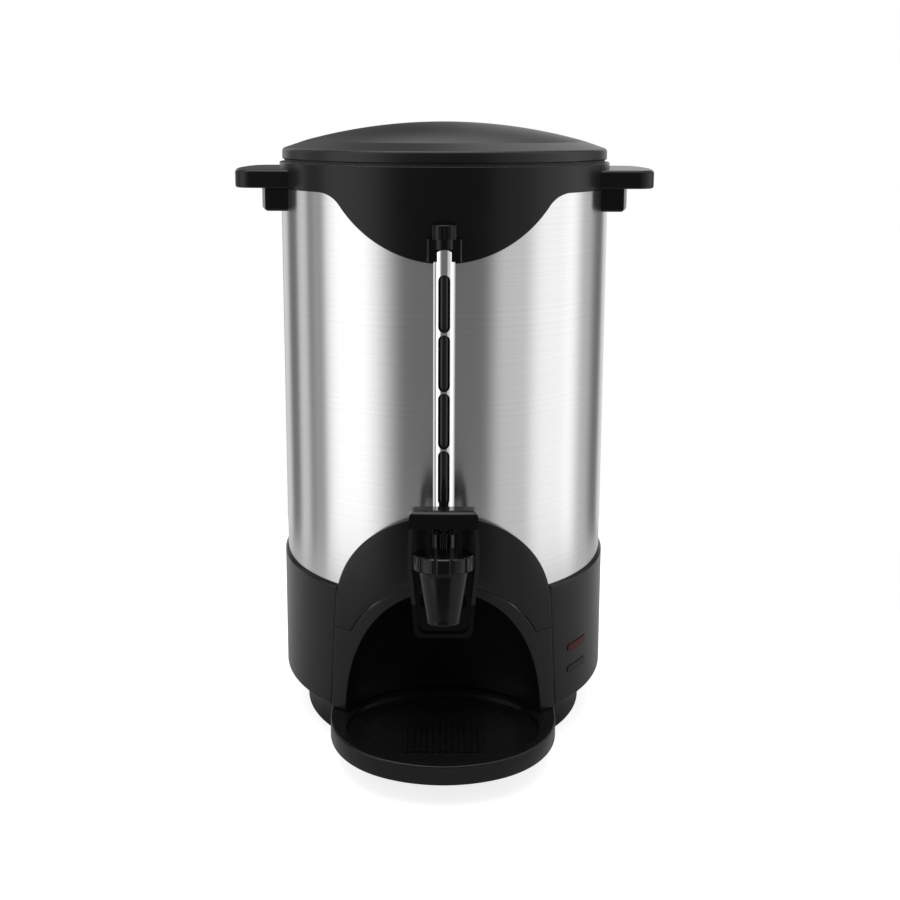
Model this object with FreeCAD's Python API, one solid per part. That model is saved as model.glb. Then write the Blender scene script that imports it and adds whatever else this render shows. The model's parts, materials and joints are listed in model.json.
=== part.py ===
import FreeCAD, Part
import math
import os
from FreeCAD import Vector

# Double-walled coffee urn, in millimetres. The floor is z = 0, the vessel's axis is the Z axis,
# and the tap and the drip tray face -Y.

# Vessel
SHELL_R = 115.0
SHEET = 0.8
SHELL_BOTTOM = 100.0
SHELL_TOP = 392.0
TANK_GAP = 5.0
TANK_R = SHELL_R - TANK_GAP
TANK_FLOOR = 126.5
TANK_RISE = 5.5
TANK_RIM = SHELL_TOP + TANK_RISE
TANK_FLANGE = 3.4
SUMP_R = 24.0
SUMP_DEPTH = 3.0

# Base
SKIRT_STEP = 2.0
SKIRT_R = SHELL_R + SKIRT_STEP
SKIRT_BOTTOM = 30.0
SKIRT_TOP = 118.5
SKIRT_WALL = 2.4
RIM_CHAMFER = 1.7
FOOT_SETBACK = 15.1
FOOT_R = SKIRT_R - FOOT_SETBACK
FOOT_BOTTOM = 0.0
FOOT_WALL = 3.0
PAN_TOP = 17.0
PAN_THICK = 3.0
PAD_R = 6.5
PAD_INSET = 11.9
PAD_PITCH_R = FOOT_R - PAD_INSET
PAD_ANGLES = (50, 130, 230, 310)
PAD_RECESS = 3.5
PAD_SOCKET = 2.0
POST_R = 4.5
POST_INSET = 9.4
POST_PITCH_R = FOOT_R - POST_INSET
POST_ANGLES = (24, 156, 204, 336)
POST_HEIGHT = 12.0
SCREW_R = 1.75
SCREW_HEAD_R = 3.7
SCREW_HEAD = 2.2

# Front housing round the cup niche
HOUSING_STEP = 3.5
HOUSING_R = SHELL_R + HOUSING_STEP
HOUSING_WALL = 2.7
ARCH_R = 72.5
ARCH_Z = 103.2
ARCH_FLARE = 3.0
SEAM_R = 68.0
SEAM_Z = 61.0
SEAM_FOOT = 89.0
SEAM = 0.3
NICHE_OUT = 18.5
NICHE_Y = -HOUSING_R - NICHE_OUT
NICHE_R = 76.2
NICHE_HEIGHT = 98.1
NICHE_WALL = 2.5

# Drip tray and its lift-out dish
TRAY_TOP = 29.5
TRAY_HALF = 76.0
NOSE_R = 90.0
NOSE_SETBACK = 41.5
NOSE_Y = -HOUSING_R + NOSE_SETBACK
TRAY_TAIL = 21.0
TRAY_BACK = NOSE_Y + TRAY_TAIL
CORNER_R = 66.0
CORNER_X = 10.0
TRAY_EDGE = 1.2
BASIN_FLOOR = 2.5
DISH_OUT = 39.0
DISH_Y = NOSE_Y - DISH_OUT
DISH_X_R = 64.0
DISH_Y_R = 46.0
DISH_SEAT = 24.0
DISH_RIM = 2.5
DISH_LIP = 3.7
DISH_FLOOR = 24.5
DISH_SKIN = 2.0
LEDGE = 6.0
RIB_COUNT = 13
RIB_PITCH = 4.1
RIB_LENGTH = 36.0
RIB_WIDTH = 1.6
RIB_HEIGHT = 1.2
RIB_OUT = 7.0
RIB_Y = DISH_Y - RIB_OUT
DRAIN_R = 1.0

# Collar with its front bib
COLLAR_STEP = 0.9
COLLAR_R = SHELL_R + COLLAR_STEP
COLLAR_TOP = TANK_RIM
COLLAR_BOTTOM = 380.0
BIB_R = 82.0
BIB_Z = 419.6
BIB_FILLET = 18.0

# Lid
LID_STEP = 1.9
LID_R = COLLAR_R - LID_STEP
SEAL_THICK = 1.8
LID_BOTTOM = TANK_RIM + SEAL_THICK
LID_WALL_TOP = 405.3
LID_EDGE = 1.5
LID_SLOPE = 16.0
LID_BAND_R = LID_R - LID_SLOPE
LID_BAND_TOP = 412.0
LID_WELL = 406.0
LID_SKIN = 2.5
LID_CREST = 425.2
RIDGE_LONG_R = 372.0
RIDGE_CROSS_R = 72.0
PLUG_PLAY = 4.5
LID_PLUG_R = TANK_R - PLUG_PLAY
LID_PLUG = 9.0
SEAL_INSET = 1.4
SEAL_R = LID_R - SEAL_INSET
VENT_R = 1.5
VENT_INSET = 20.0
VENT_Y = LID_BAND_R - VENT_INSET

# Side handles
HANDLE_TOP = 393.0
HANDLE_BOTTOM = 380.6
HANDLE_ROOT = 15.0
HANDLE_ROOT_X = SHELL_R - HANDLE_ROOT
HANDLE_ROOT_Y = 50.5
HANDLE_OUT = 30.1
HANDLE_REACH = COLLAR_R + HANDLE_OUT
HANDLE_BOW = 4.0
HANDLE_CORNER_X = HANDLE_REACH - HANDLE_BOW
HANDLE_CORNER_Y = 38.0
HANDLE_SHOULDER = 11.0
HANDLE_SHOULDER_X = HANDLE_CORNER_X - HANDLE_SHOULDER
HANDLE_SHOULDER_Y = 47.5
HANDLE_EDGE = 2.5
GRIP_BLOCK_OUT = 6.0
GRIP_BLOCK_X = SHELL_R + GRIP_BLOCK_OUT
GRIP_BLOCK_BOW = 7.0
GRIP_BLOCK_REACH = GRIP_BLOCK_X + GRIP_BLOCK_BOW
GRIP_BLOCK_Y = 45.5
GRIP_BLOCK_BOTTOM = 365.0
HANDLE_SCREW_Y = 22.0
HANDLE_SCREW_Z = 372.5

# Level gauge
GUARD_R = 7.0
GUARD_SKIN = 0.8
GUARD_OUT = 3.0
GUARD_Y = -SHELL_R - GUARD_OUT
GUARD_TOP = 347.5
GUARD_BOTTOM = 172.0
SLOT_WIDTH = 7.5
SOCKET_WALL = 1.0
SOCKET_HALF = GUARD_R + SOCKET_WALL
SLOT_TOPS = (332.0, 294.5, 257.5, 220.5)
SLOT_LENGTH = 36.0
LAST_SLOT_TOP = 183.5
LAST_SLOT_BOTTOM = 175.5
GLASS_R = 3.6
GLASS_WALL = 0.9
GLASS_OUT = 1.8
GLASS_Y = GUARD_Y - GLASS_OUT
GLASS_BOTTOM = 158.0
GLASS_TOP = 351.0
BRACKET_HALF = 11.0
BRACKET_BOTTOM = 340.0
BRACKET_TOP = 353.8
BRACKET_OUT = 7.5
BRACKET_FRONT = -COLLAR_R - BRACKET_OUT
CAP_R = 8.0
CAP_TOP = 363.0
CAP_FLUTES = 16

# Tap
SHANK_Z = 141.5
SHANK_R = 7.5
SHANK_BORE = 4.5
SHANK_IN = 14.0
SHANK_END = -TANK_R + SHANK_IN
FLANGE_R = 12.0
OUTER_GASKET = 1.5
FLANGE_BACK = -HOUSING_R - OUTER_GASKET
FLANGE_THICK = 2.4
FLANGE_FRONT = FLANGE_BACK - FLANGE_THICK
NUT_R = 13.0
INNER_GASKET = 5.5
NUT_FRONT = -TANK_R + INNER_GASKET
NUT_THICK = 6.0
NUT_BACK = NUT_FRONT + NUT_THICK
TAP_OUT = 31.5
TAP_Y = -HOUSING_R - TAP_OUT
TAP_Z = 157.5
TAP_LEAN = 9.0
TAP_SPAN = 60.0
BONNET_R = 19.0
BONNET_HALF = 4.75
BONNET_PLATE = 2.2
BONNET_NOTCHES = 12
NOTCH_R = 1.3
NECK_R = 16.0
NECK_TOP = 2.3
CONE_TOP = -5.0
CONE_BOTTOM = -38.5
CONE_TOP_R = 15.9
CONE_TIP_R = 10.3
CHAMBER_R = 11.0
CHAMBER_FLOOR = -22.0
SEAT_R = 7.0
SEAT_CONE = 3.0
OUTLET_R = 7.6
STEM_R = 2.5
STEM_BOTTOM = -14.0
STEM_HEAD_R = 4.5
STEM_HEAD_BOTTOM = 19.5
STEM_HEAD_TOP = 22.0
CUP_R = 9.4
CUP_TOP = -10.5
SPRING_R = 4.6
SPRING_WIRE = 0.55
SPRING_TURNS = 5.0
PIVOT_Y = -6.0
PIVOT_Z = 27.0
PIN_R = 1.5
PIN_HALF = 17.0
YOKE_IN = 8.0
YOKE_OUT = 11.0
YOKE_R = 3.0
BAR_HALF = 21.0
BAR_TOP = 33.0
BAR_BOTTOM = 22.0
BAR_FRONT = -12.8
BAR_BACK = 8.0
BAR_ROUND = 4.0
POCKET_HALF = 13.0
POCKET_FRONT = -10.6
POCKET_BACK = 6.0
POCKET_ROOF = 31.0
ARM_HALF = 22.3
ARM_THICK = 2.6
PADDLE_HALF = 18.5
PADDLE_BOTTOM = -51.5
PADDLE_BACK = 19.5
PADDLE_THICK = 2.5
PADDLE_WINDOW = 14.5
PADDLE_WINDOW_Z = -33.0
FINGER_IN = 3.3
FINGER_OUT = 6.5
FINGER_TOP = 19.3
FINGER_THICK = 2.5

# Brewing set inside the tank
RISER_R = 4.5
RISER_WALL = 0.7
RISER_TOP = 374.0
RISER_FOOT_R = 22.0
RISER_FOOT_TOP = 142.0
RISER_COLLAR_R = 7.0
BASKET_R = 66.0
BASKET_BOTTOM = 300.0
BASKET_TOP = 358.0
STRAINER_RINGS = (24.0, 46.0)
STRAINER_COUNTS = (6, 12)
BASKET_HOLE_R = 1.8
COVER_TOP = 366.0

# Heater and wiring in the base
PLATE_INSET = 26.0
PLATE_R = TANK_R - PLATE_INSET
PLATE_THICK = 3.0
MAIN_RING_R = 62.0
MAIN_ROD_R = 4.0
WARM_RING_R = 40.0
WARM_ROD_R = 3.0
RING_OPEN_ANGLE = 24.0
TERMINAL_DROP = 14.0
THERMOSTAT_R = 8.5
THERMOSTAT_HEIGHT = 10.0
THERMOSTAT_X = -20.0
FUSE_R = 2.6
FUSE_LENGTH = 22.0
FUSE_X = 20.0
STUD_R = 3.0
STUD_NUT_R = 6.0
BLOCK_Y = 62.0
BLOCK_SIZE = (34.0, 18.0, 15.0)
GLAND_Z = 52.0
GLAND_R = 9.0
GLAND_BORE = 3.6
GLAND_FLANGE_R = 12.0
GLAND_FLANGE = 2.5
WIRE_R = 1.3

# Indicator lamps on the skirt's right front
LAMP_ANGLE = 53.0
LAMP_HEIGHTS = (67.0, 51.0)
LAMP_LENGTH = 24.0
LAMP_WIDTH = 5.5
LAMP_PROUD = 0.5
LAMP_SEAT = 4.0
LAMP_HOLDER = 7.0

# Clearances
FIT = 0.05
RUN = 0.06
EASE = 0.3
FAR = 400.0

Z_AXIS = Vector(0, 0, 1)
ORIGIN = Vector(0, 0, 0)


def upright(a, b):
    return Vector(a, 0, b)


def flat(a, b):
    return Vector(a, b, 0)


def sideways(a, b):
    return Vector(0, a, b)


def face(place, start, *steps):
    """A face in one plane: a step of two numbers is a line's end, one of four is an arc's middle and end."""
    edges = []
    here = place(*start)
    for step in steps + (start,):
        end = place(*step[-2:])
        if (end - here).Length < 1e-6:
            continue
        if len(step) == 4:
            edges.append(Part.Arc(here, place(*step[:2]), end).toShape())
        else:
            edges.append(Part.LineSegment(here, end).toShape())
        here = end
    return Part.Face(Part.Wire(edges))


def turned(start, *steps):
    """A solid of revolution about the vessel's axis, from an outline of radii and heights."""
    return face(upright, start, *steps).revolve(ORIGIN, Z_AXIS, 360)


def ring(inner, outer, low, high):
    return turned((inner, low), (outer, low), (outer, high), (inner, high))


def disc(radius, low, high, x=0.0, y=0.0):
    return Part.makeCylinder(radius, high - low, Vector(x, y, low))


def rod(radius, start, end):
    span = Vector(*end) - Vector(*start)
    return Part.makeCylinder(radius, span.Length, Vector(*start), span)


def block(low, high):
    size = [b - a for a, b in zip(low, high)]
    return Part.makeBox(*size, Vector(*low))


def front_prism(start, *steps, near=-FAR, far=0.0):
    """A prism along Y whose outline is drawn from the front, in X and Z."""
    plate = face(upright, start, *steps)
    plate.translate(Vector(0, near, 0))
    return plate.extrude(Vector(0, far - near, 0))


def plan_prism(low, high, start, *steps):
    plate = face(flat, start, *steps)
    plate.translate(Vector(0, 0, low))
    return plate.extrude(Vector(0, 0, high - low))


def rounded(shape, radius, wanted):
    """The shape with a fillet on each edge that the test picks."""
    edges = [e for e in shape.Edges if wanted(e)]
    return shape.makeFillet(radius, edges) if edges else shape


def at_height(z):
    return lambda e: abs(e.BoundBox.ZMin - z) < 1e-4 and abs(e.BoundBox.ZMax - z) < 1e-4


def polar(radius, degrees, z=0.0):
    angle = math.radians(degrees)
    return Vector(radius * math.cos(angle), radius * math.sin(angle), z)


def on_circle(x, z, radius, degrees):
    angle = math.radians(degrees)
    return (x + radius * math.cos(angle), z + radius * math.sin(angle))


def mirrored(shape):
    return shape.mirror(ORIGIN, Vector(1, 0, 0))


def save(name, shape):
    shape.removeSplitter().exportStep("parts/" + name + ".step")


def polar_copies(shape, count):
    copies = []
    for number in range(count):
        copy = shape.copy()
        copy.rotate(ORIGIN, Z_AXIS, 360.0 * number / count)
        copies.append(copy)
    return copies


# Front housing


def arch_prism(grow=0.0):
    """Everything inside the arch outline of the front housing."""
    radius = ARCH_R + grow
    tangent = on_circle(0, ARCH_Z, radius, ARCH_FLARE)
    spread = tangent[0] + (tangent[1] - 0.0) * math.tan(math.radians(ARCH_FLARE))
    return front_prism(
        (spread, 0.0),
        tangent,
        (0.0, ARCH_Z + radius, -tangent[0], tangent[1]),
        (-spread, 0.0),
    )


def below_seam(grow):
    """The part of the housing under the seam where the tap's cover ends."""
    dome = rod(SEAM_R + grow, (0, -FAR, SEAM_Z), (0, 0, SEAM_Z))
    foot = block((-FAR, -FAR, 0), (FAR, 0, SEAM_FOOT + grow))
    return dome.fuse(foot)


def niche_dome(grow):
    """The niche is a quarter of an egg, turned about an upright axis in front of the vessel."""
    centre = Vector(0, 0, TRAY_TOP)
    top = centre + Vector(0, 0, NICHE_HEIGHT + grow)
    foot = centre + Vector(NICHE_R + grow, 0, 0)
    quarter = Part.ArcOfEllipse(Part.Ellipse(top, foot, centre), 0.0, math.pi / 2)
    sides = [Part.LineSegment(foot, centre).toShape(), Part.LineSegment(centre, top).toShape()]
    egg = Part.Face(Part.Wire([quarter.toShape()] + sides)).revolve(ORIGIN, Z_AXIS, 360)
    egg.translate(Vector(0, NICHE_Y, 0))
    return egg


def housing_wall():
    wall = ring(HOUSING_R - HOUSING_WALL, HOUSING_R, TRAY_TOP, ARCH_Z + ARCH_R)
    return wall.common(arch_prism())


def niche_housing():
    frame = housing_wall().common(below_seam(-SEAM / 2))
    outside = niche_dome(NICHE_WALL)
    inside = niche_dome(0.0)
    egg = outside.common(disc(HOUSING_R - HOUSING_WALL / 2, TRAY_TOP, TANK_FLOOR))
    return frame.fuse(egg).cut(inside)


def tap_slot(grow=0.0):
    """The keyhole in the cover that the tap's shank and the gauge's socket stand in."""
    wide = SOCKET_HALF + EASE + grow
    hole = rod(wide, (0, -FAR, SHANK_Z), (0, 0, SHANK_Z))
    return hole.fuse(block((-wide, -FAR, SHANK_Z), (wide, 0, FAR)))


def tap_cover():
    cover = housing_wall().cut(below_seam(SEAM / 2))
    return cover.cut(tap_slot())


# Base


def skirt():
    inner = SKIRT_R - SKIRT_WALL
    seat = SHELL_R + EASE
    body = turned(
        (POST_PITCH_R - POST_R, SKIRT_BOTTOM),
        (SKIRT_R, SKIRT_BOTTOM),
        (SKIRT_R, SKIRT_TOP - RIM_CHAMFER),
        (seat, SKIRT_TOP),
        (seat, SHELL_BOTTOM),
        (SHELL_R - 4.0, SHELL_BOTTOM),
        (SHELL_R - 4.0, SHELL_BOTTOM - SKIRT_WALL),
        (inner, SHELL_BOTTOM - 2 * SKIRT_WALL),
        (inner, SKIRT_BOTTOM + SKIRT_WALL),
        (POST_PITCH_R - POST_R, SKIRT_BOTTOM + SKIRT_WALL),
    )
    for angle in POST_ANGLES:
        foot = polar(POST_PITCH_R, angle)
        body = body.fuse(disc(POST_R, SKIRT_BOTTOM, SKIRT_BOTTOM + POST_HEIGHT, foot.x, foot.y))
        body = body.cut(disc(SCREW_R + FIT, 0, FAR, foot.x, foot.y))
    body = body.cut(arch_prism(SEAM))
    body = body.cut(rod(GLAND_R + FIT, (0, 0, GLAND_Z), (0, FAR, GLAND_Z)))
    for height in LAMP_HEIGHTS:
        body = body.cut(lamp_prism(height, FIT))
    return body


def base_pan():
    pan = disc(FOOT_R, PAN_TOP - PAN_THICK, PAN_TOP)
    wall = ring(FOOT_R - FOOT_WALL, FOOT_R, FOOT_BOTTOM, SKIRT_BOTTOM)
    notch = block((-TRAY_HALF - EASE, -FAR, PAN_TOP), (TRAY_HALF + EASE, 0, FAR))
    pan = pan.fuse(wall.cut(notch))
    for angle in PAD_ANGLES:
        foot = polar(PAD_PITCH_R, angle)
        pan = pan.fuse(disc(PAD_R + PAD_SOCKET, FOOT_BOTTOM, PAN_TOP - PAN_THICK, foot.x, foot.y))
        pan = pan.cut(disc(PAD_R + FIT, 0, FOOT_BOTTOM + PAD_RECESS, foot.x, foot.y))
    for angle in POST_ANGLES:
        foot = polar(POST_PITCH_R, angle)
        pan = pan.fuse(disc(POST_R, PAN_TOP, SKIRT_BOTTOM, foot.x, foot.y))
        pan = pan.cut(disc(SCREW_R + FIT, 0, FAR, foot.x, foot.y))
    return pan.cut(disc(STUD_R + FIT, 0, FAR))


def foot_pads():
    pads = []
    for angle in PAD_ANGLES:
        foot = polar(PAD_PITCH_R, angle)
        pads.append(disc(PAD_R, 0, FOOT_BOTTOM + PAD_RECESS, foot.x, foot.y))
    return Part.makeCompound(pads)


def base_screws():
    screws = []
    under = PAN_TOP - PAN_THICK
    for angle in POST_ANGLES:
        foot = polar(POST_PITCH_R, angle)
        shank = disc(SCREW_R, under, SKIRT_BOTTOM + POST_HEIGHT - 2.0, foot.x, foot.y)
        screws.append(shank.fuse(disc(SCREW_HEAD_R, under - SCREW_HEAD, under, foot.x, foot.y)))
    return Part.makeCompound(screws)


def tie_stud():
    return disc(STUD_R, PAN_TOP - PAN_THICK - 5.0, TANK_FLOOR - SHEET - SUMP_DEPTH)


def hexagon(radius, low, high):
    corners = [on_circle(0, 0, radius, 60 * k) for k in range(6)]
    return plan_prism(low, high, *corners)


def tie_nut():
    under = PAN_TOP - PAN_THICK
    return hexagon(STUD_NUT_R, under - 4.0, under).cut(disc(STUD_R + FIT, 0, FAR))


# Drip tray


def tray_outline():
    slant = math.atan2(math.sqrt((NOSE_R - CORNER_R) ** 2 - CORNER_X**2), CORNER_X)
    corner_y = NOSE_Y - (NOSE_R - CORNER_R) * math.sin(slant)
    meet = (NOSE_R * math.cos(slant), NOSE_Y - NOSE_R * math.sin(slant))
    middle = (CORNER_X + CORNER_R * math.cos(slant / 2), corner_y - CORNER_R * math.sin(slant / 2))
    nose = (0.0, NOSE_Y - NOSE_R)
    return (
        (TRAY_HALF, TRAY_BACK),
        (TRAY_HALF, corner_y),
        middle + meet,
        nose + (-meet[0], meet[1]),
        (-middle[0], middle[1], -TRAY_HALF, corner_y),
        (-TRAY_HALF, TRAY_BACK),
    )


def oval(grow, low, high, top_grow=None):
    """An upright elliptical plug about the dish's centre, straight or tapered."""
    slices = []
    for z, extra in ((low, grow), (high, grow if top_grow is None else top_grow)):
        curve = Part.Ellipse(Vector(0, DISH_Y, z), DISH_X_R + extra, DISH_Y_R + extra)
        slices.append(Part.Wire(curve.toShape()))
    return Part.makeLoft(slices, True)


def tray_base():
    body = plan_prism(PAN_TOP, TRAY_TOP, *tray_outline())
    body = rounded(body, TRAY_EDGE, lambda e: at_height(TRAY_TOP)(e) and e.BoundBox.YMin < NOSE_Y)
    body = body.cut(oval(0.0, DISH_SEAT, TRAY_TOP + 1.0))
    return body.cut(oval(-LEDGE, PAN_TOP + BASIN_FLOOR, DISH_SEAT + 1.0))


def drip_dish():
    rim_top = DISH_SEAT + DISH_RIM
    dish = oval(-EASE, DISH_SEAT, rim_top)
    dish = dish.fuse(oval(-LEDGE - EASE, DISH_FLOOR - DISH_SKIN, DISH_SEAT + 0.5))
    dish = dish.cut(oval(-DISH_LIP - 5.0, DISH_FLOOR, rim_top, -DISH_LIP))
    first = -RIB_PITCH * (RIB_COUNT - 1) / 2
    back = RIB_Y + RIB_LENGTH / 2
    front = RIB_Y - RIB_LENGTH / 2
    for number in range(RIB_COUNT):
        x = first + number * RIB_PITCH
        side = RIB_WIDTH / 2
        low = DISH_FLOOR - 0.5
        bar = block((x - side, front, low), (x + side, back, DISH_FLOOR + RIB_HEIGHT))
        ends = [disc(side, low, DISH_FLOOR + RIB_HEIGHT, x, y) for y in (front, back)]
        dish = dish.fuse([bar] + ends)
    for number in range(RIB_COUNT - 1):
        x = first + (number + 0.5) * RIB_PITCH
        dish = dish.cut(disc(DRAIN_R, 0, FAR, x, front))
    return dish


# Vessel


def shell():
    body = ring(SHELL_R - SHEET, SHELL_R, SHELL_BOTTOM, SHELL_TOP)
    body = body.cut(niche_dome(NICHE_WALL + EASE))
    body = body.cut(rod(SHANK_R + EASE, (0, -FAR, SHANK_Z), (0, 0, SHANK_Z)))
    for side in (-1, 1):
        for y in (-HANDLE_SCREW_Y, HANDLE_SCREW_Y):
            body = body.cut(rod(SCREW_R + FIT, (0, y, HANDLE_SCREW_Z), (side * FAR, y, HANDLE_SCREW_Z)))
    return body


def tank():
    floor = TANK_FLOOR
    sump = floor - SUMP_DEPTH
    body = turned(
        (0.0, sump - SHEET),
        (SUMP_R + SHEET, sump - SHEET),
        (SUMP_R + SHEET, floor - SHEET),
        (TANK_R - 3.0, floor - SHEET),
        (TANK_R + SHEET, floor + 3.0),
        (TANK_R + SHEET, TANK_RIM - SHEET),
        (TANK_R + TANK_FLANGE, TANK_RIM - SHEET),
        (TANK_R + TANK_FLANGE, TANK_RIM),
        (TANK_R, TANK_RIM),
        (TANK_R, floor + 3.0),
        (TANK_R - 3.0, floor),
        (SUMP_R, floor),
        (SUMP_R, sump),
        (0.0, sump),
    )
    return body.cut(rod(SHANK_R + FIT, (0, -FAR, SHANK_Z), (0, 0, SHANK_Z)))


def collar():
    inner = TANK_R + SHEET + EASE
    body = turned(
        (SHELL_R + FIT, BIB_Z - BIB_R),
        (COLLAR_R, BIB_Z - BIB_R),
        (COLLAR_R, COLLAR_TOP - 0.6),
        (COLLAR_R - 0.6, COLLAR_TOP),
        (TANK_R + TANK_FLANGE + EASE, COLLAR_TOP),
        (TANK_R + TANK_FLANGE + EASE, TANK_RIM - SHEET),
        (inner, TANK_RIM - SHEET),
        (inner, SHELL_TOP),
        (SHELL_R + FIT, SHELL_TOP),
    )
    body = body.cut(block((-FAR, 0, 0), (FAR, FAR, COLLAR_BOTTOM)))
    fillet_z = COLLAR_BOTTOM - BIB_FILLET
    fillet_x = math.sqrt((BIB_R + BIB_FILLET) ** 2 - (BIB_Z - fillet_z) ** 2)
    lean = math.degrees(math.atan2(BIB_Z - fillet_z, -fillet_x))
    meet = on_circle(fillet_x, fillet_z, BIB_FILLET, lean)
    middle = on_circle(fillet_x, fillet_z, BIB_FILLET, (lean + 90.0) / 2)
    below = front_prism(
        (FAR, 0.0),
        (FAR, COLLAR_BOTTOM),
        (fillet_x, COLLAR_BOTTOM),
        middle + meet,
        (0.0, BIB_Z - BIB_R, -meet[0], meet[1]),
        (-middle[0], middle[1], -fillet_x, COLLAR_BOTTOM),
        (-FAR, COLLAR_BOTTOM),
        (-FAR, 0.0),
    )
    return body.cut(below)


# Lid


def ridge(shrink, radius, low):
    """The whale-back grip: a piece of a large ring whose axis lies along Y."""
    hub_z = LID_CREST - RIDGE_LONG_R
    big = Part.makeTorus(RIDGE_LONG_R - RIDGE_CROSS_R, RIDGE_CROSS_R - shrink, Vector(0, 0, hub_z), Vector(0, 1, 0))
    return big.common(disc(radius, low, 2 * FAR))


def lid():
    turn = LID_EDGE * (1 - math.sqrt(0.5))
    body = turned(
        (0.0, LID_BOTTOM),
        (LID_R, LID_BOTTOM),
        (LID_R, LID_WALL_TOP),
        (LID_R - turn, LID_WALL_TOP + LID_EDGE - turn, LID_R - LID_EDGE, LID_WALL_TOP + LID_EDGE),
        (LID_BAND_R, LID_BAND_TOP),
        (LID_BAND_R - 2.0, LID_WELL),
        (0.0, LID_WELL),
    )
    body = body.fuse(ridge(0.0, LID_BAND_R, LID_WELL - 1.0))
    under = LID_WELL - LID_SKIN
    body = body.cut(disc(LID_PLUG_R - LID_SKIN, LID_BOTTOM - 1.0, under))
    body = body.cut(ridge(LID_SKIN, LID_BAND_R - 2.0 * LID_SKIN, under - 0.1))
    body = body.fuse(ring(LID_PLUG_R - LID_SKIN, LID_PLUG_R, LID_BOTTOM - LID_PLUG, LID_BOTTOM + 0.5))
    return body.cut(disc(VENT_R, 0, 2 * FAR, 0.0, VENT_Y))


def lid_seal():
    return ring(LID_PLUG_R + FIT, SEAL_R, TANK_RIM, LID_BOTTOM)


# Handles


def right_handle():
    plate = plan_prism(
        HANDLE_BOTTOM,
        HANDLE_TOP,
        (HANDLE_ROOT_X, -HANDLE_ROOT_Y),
        (HANDLE_SHOULDER_X, -HANDLE_SHOULDER_Y),
        (HANDLE_CORNER_X - 3.0, -HANDLE_CORNER_Y - 5.5, HANDLE_CORNER_X, -HANDLE_CORNER_Y),
        (HANDLE_REACH, 0.0, HANDLE_CORNER_X, HANDLE_CORNER_Y),
        (HANDLE_CORNER_X - 3.0, HANDLE_CORNER_Y + 5.5, HANDLE_SHOULDER_X, HANDLE_SHOULDER_Y),
        (HANDLE_ROOT_X, HANDLE_ROOT_Y),
    )
    plate = rounded(plate, HANDLE_EDGE, lambda e: at_height(HANDLE_TOP)(e) and e.BoundBox.XMax > HANDLE_ROOT_X + 1)
    plate = rounded(plate, 1.5, lambda e: at_height(HANDLE_BOTTOM)(e) and e.BoundBox.XMax > HANDLE_ROOT_X + 1)
    plate = plate.cut(disc(COLLAR_R + FIT, 0, FAR))
    stub = plan_prism(
        GRIP_BLOCK_BOTTOM,
        HANDLE_BOTTOM + 2.0,
        (HANDLE_ROOT_X, -GRIP_BLOCK_Y),
        (GRIP_BLOCK_X, -GRIP_BLOCK_Y),
        (GRIP_BLOCK_REACH, 0.0, GRIP_BLOCK_X, GRIP_BLOCK_Y),
        (HANDLE_ROOT_X, GRIP_BLOCK_Y),
    )
    stub = rounded(stub, 2.5, lambda e: at_height(GRIP_BLOCK_BOTTOM)(e) and e.BoundBox.XMax > HANDLE_ROOT_X + 1)
    under_collar = disc(SHELL_R + FIT, 0, FAR).fuse(disc(COLLAR_R + FIT, COLLAR_BOTTOM - FIT, FAR))
    handle = plate.fuse(stub.cut(under_collar))
    for y in (-HANDLE_SCREW_Y, HANDLE_SCREW_Y):
        start = (0, y, HANDLE_SCREW_Z)
        handle = handle.cut(rod(SCREW_R + FIT, start, (SHELL_R + 8.0, y, HANDLE_SCREW_Z)))
    return handle


def handle_screws():
    screws = []
    for side in (-1, 1):
        for y in (-HANDLE_SCREW_Y, HANDLE_SCREW_Y):
            wall = math.sqrt((SHELL_R - SHEET) ** 2 - (HANDLE_SCREW_Y + SCREW_HEAD_R) ** 2)
            seat = side * wall
            tip = side * (SHELL_R + 7.0)
            head = rod(SCREW_HEAD_R, (seat - side * 1.2, y, HANDLE_SCREW_Z), (seat, y, HANDLE_SCREW_Z))
            screws.append(head.fuse(rod(SCREW_R, (seat, y, HANDLE_SCREW_Z), (tip, y, HANDLE_SCREW_Z))))
    return Part.makeCompound(screws)


# Level gauge


def round_front(radius, y, low, high, back):
    """An upright bar with a half-round front and a flat back."""
    nose = disc(radius, low, high, 0.0, y)
    body = nose.fuse(block((-radius, y, low), (radius, back, high)))
    return body.cut(block((-FAR, back, 0), (FAR, FAR, FAR)))


def gauge_slot(low, high):
    half = SLOT_WIDTH / 2
    hole = block((-half, -FAR, low + half), (half, GUARD_Y, high - half))
    for z in (low + half, high - half):
        hole = hole.fuse(rod(half, (0, -FAR, z), (0, GUARD_Y, z)))
    return hole


def guard_blank(grow, back):
    body = round_front(GUARD_R + grow, GUARD_Y, GUARD_BOTTOM, GUARD_TOP, back)
    top = front_prism(
        (-GUARD_R - grow, GUARD_BOTTOM),
        (GUARD_R + grow, GUARD_BOTTOM),
        (GUARD_R + grow, GUARD_TOP - GUARD_R),
        (0.0, GUARD_TOP + grow, -GUARD_R - grow, GUARD_TOP - GUARD_R),
    )
    return body.common(top)


def guard_sheet(grow, back):
    hollow = round_front(GUARD_R - GUARD_SKIN - grow, GUARD_Y, 0.0, FAR, 0.0)
    return guard_blank(grow, back).cut(hollow)


def gauge_guard():
    body = guard_sheet(0.0, -SHELL_R - EASE).cut(disc(COLLAR_R + FIT, BIB_Z - BIB_R - 1.0, FAR))
    for top in SLOT_TOPS:
        body = body.cut(gauge_slot(top - SLOT_LENGTH, top))
    return body.cut(gauge_slot(LAST_SLOT_BOTTOM, LAST_SLOT_TOP))


def gauge_glass():
    outer = disc(GLASS_R, GLASS_BOTTOM, GLASS_TOP, 0.0, GLASS_Y)
    return outer.cut(disc(GLASS_R - GLASS_WALL, 0, FAR, 0.0, GLASS_Y))


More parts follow.
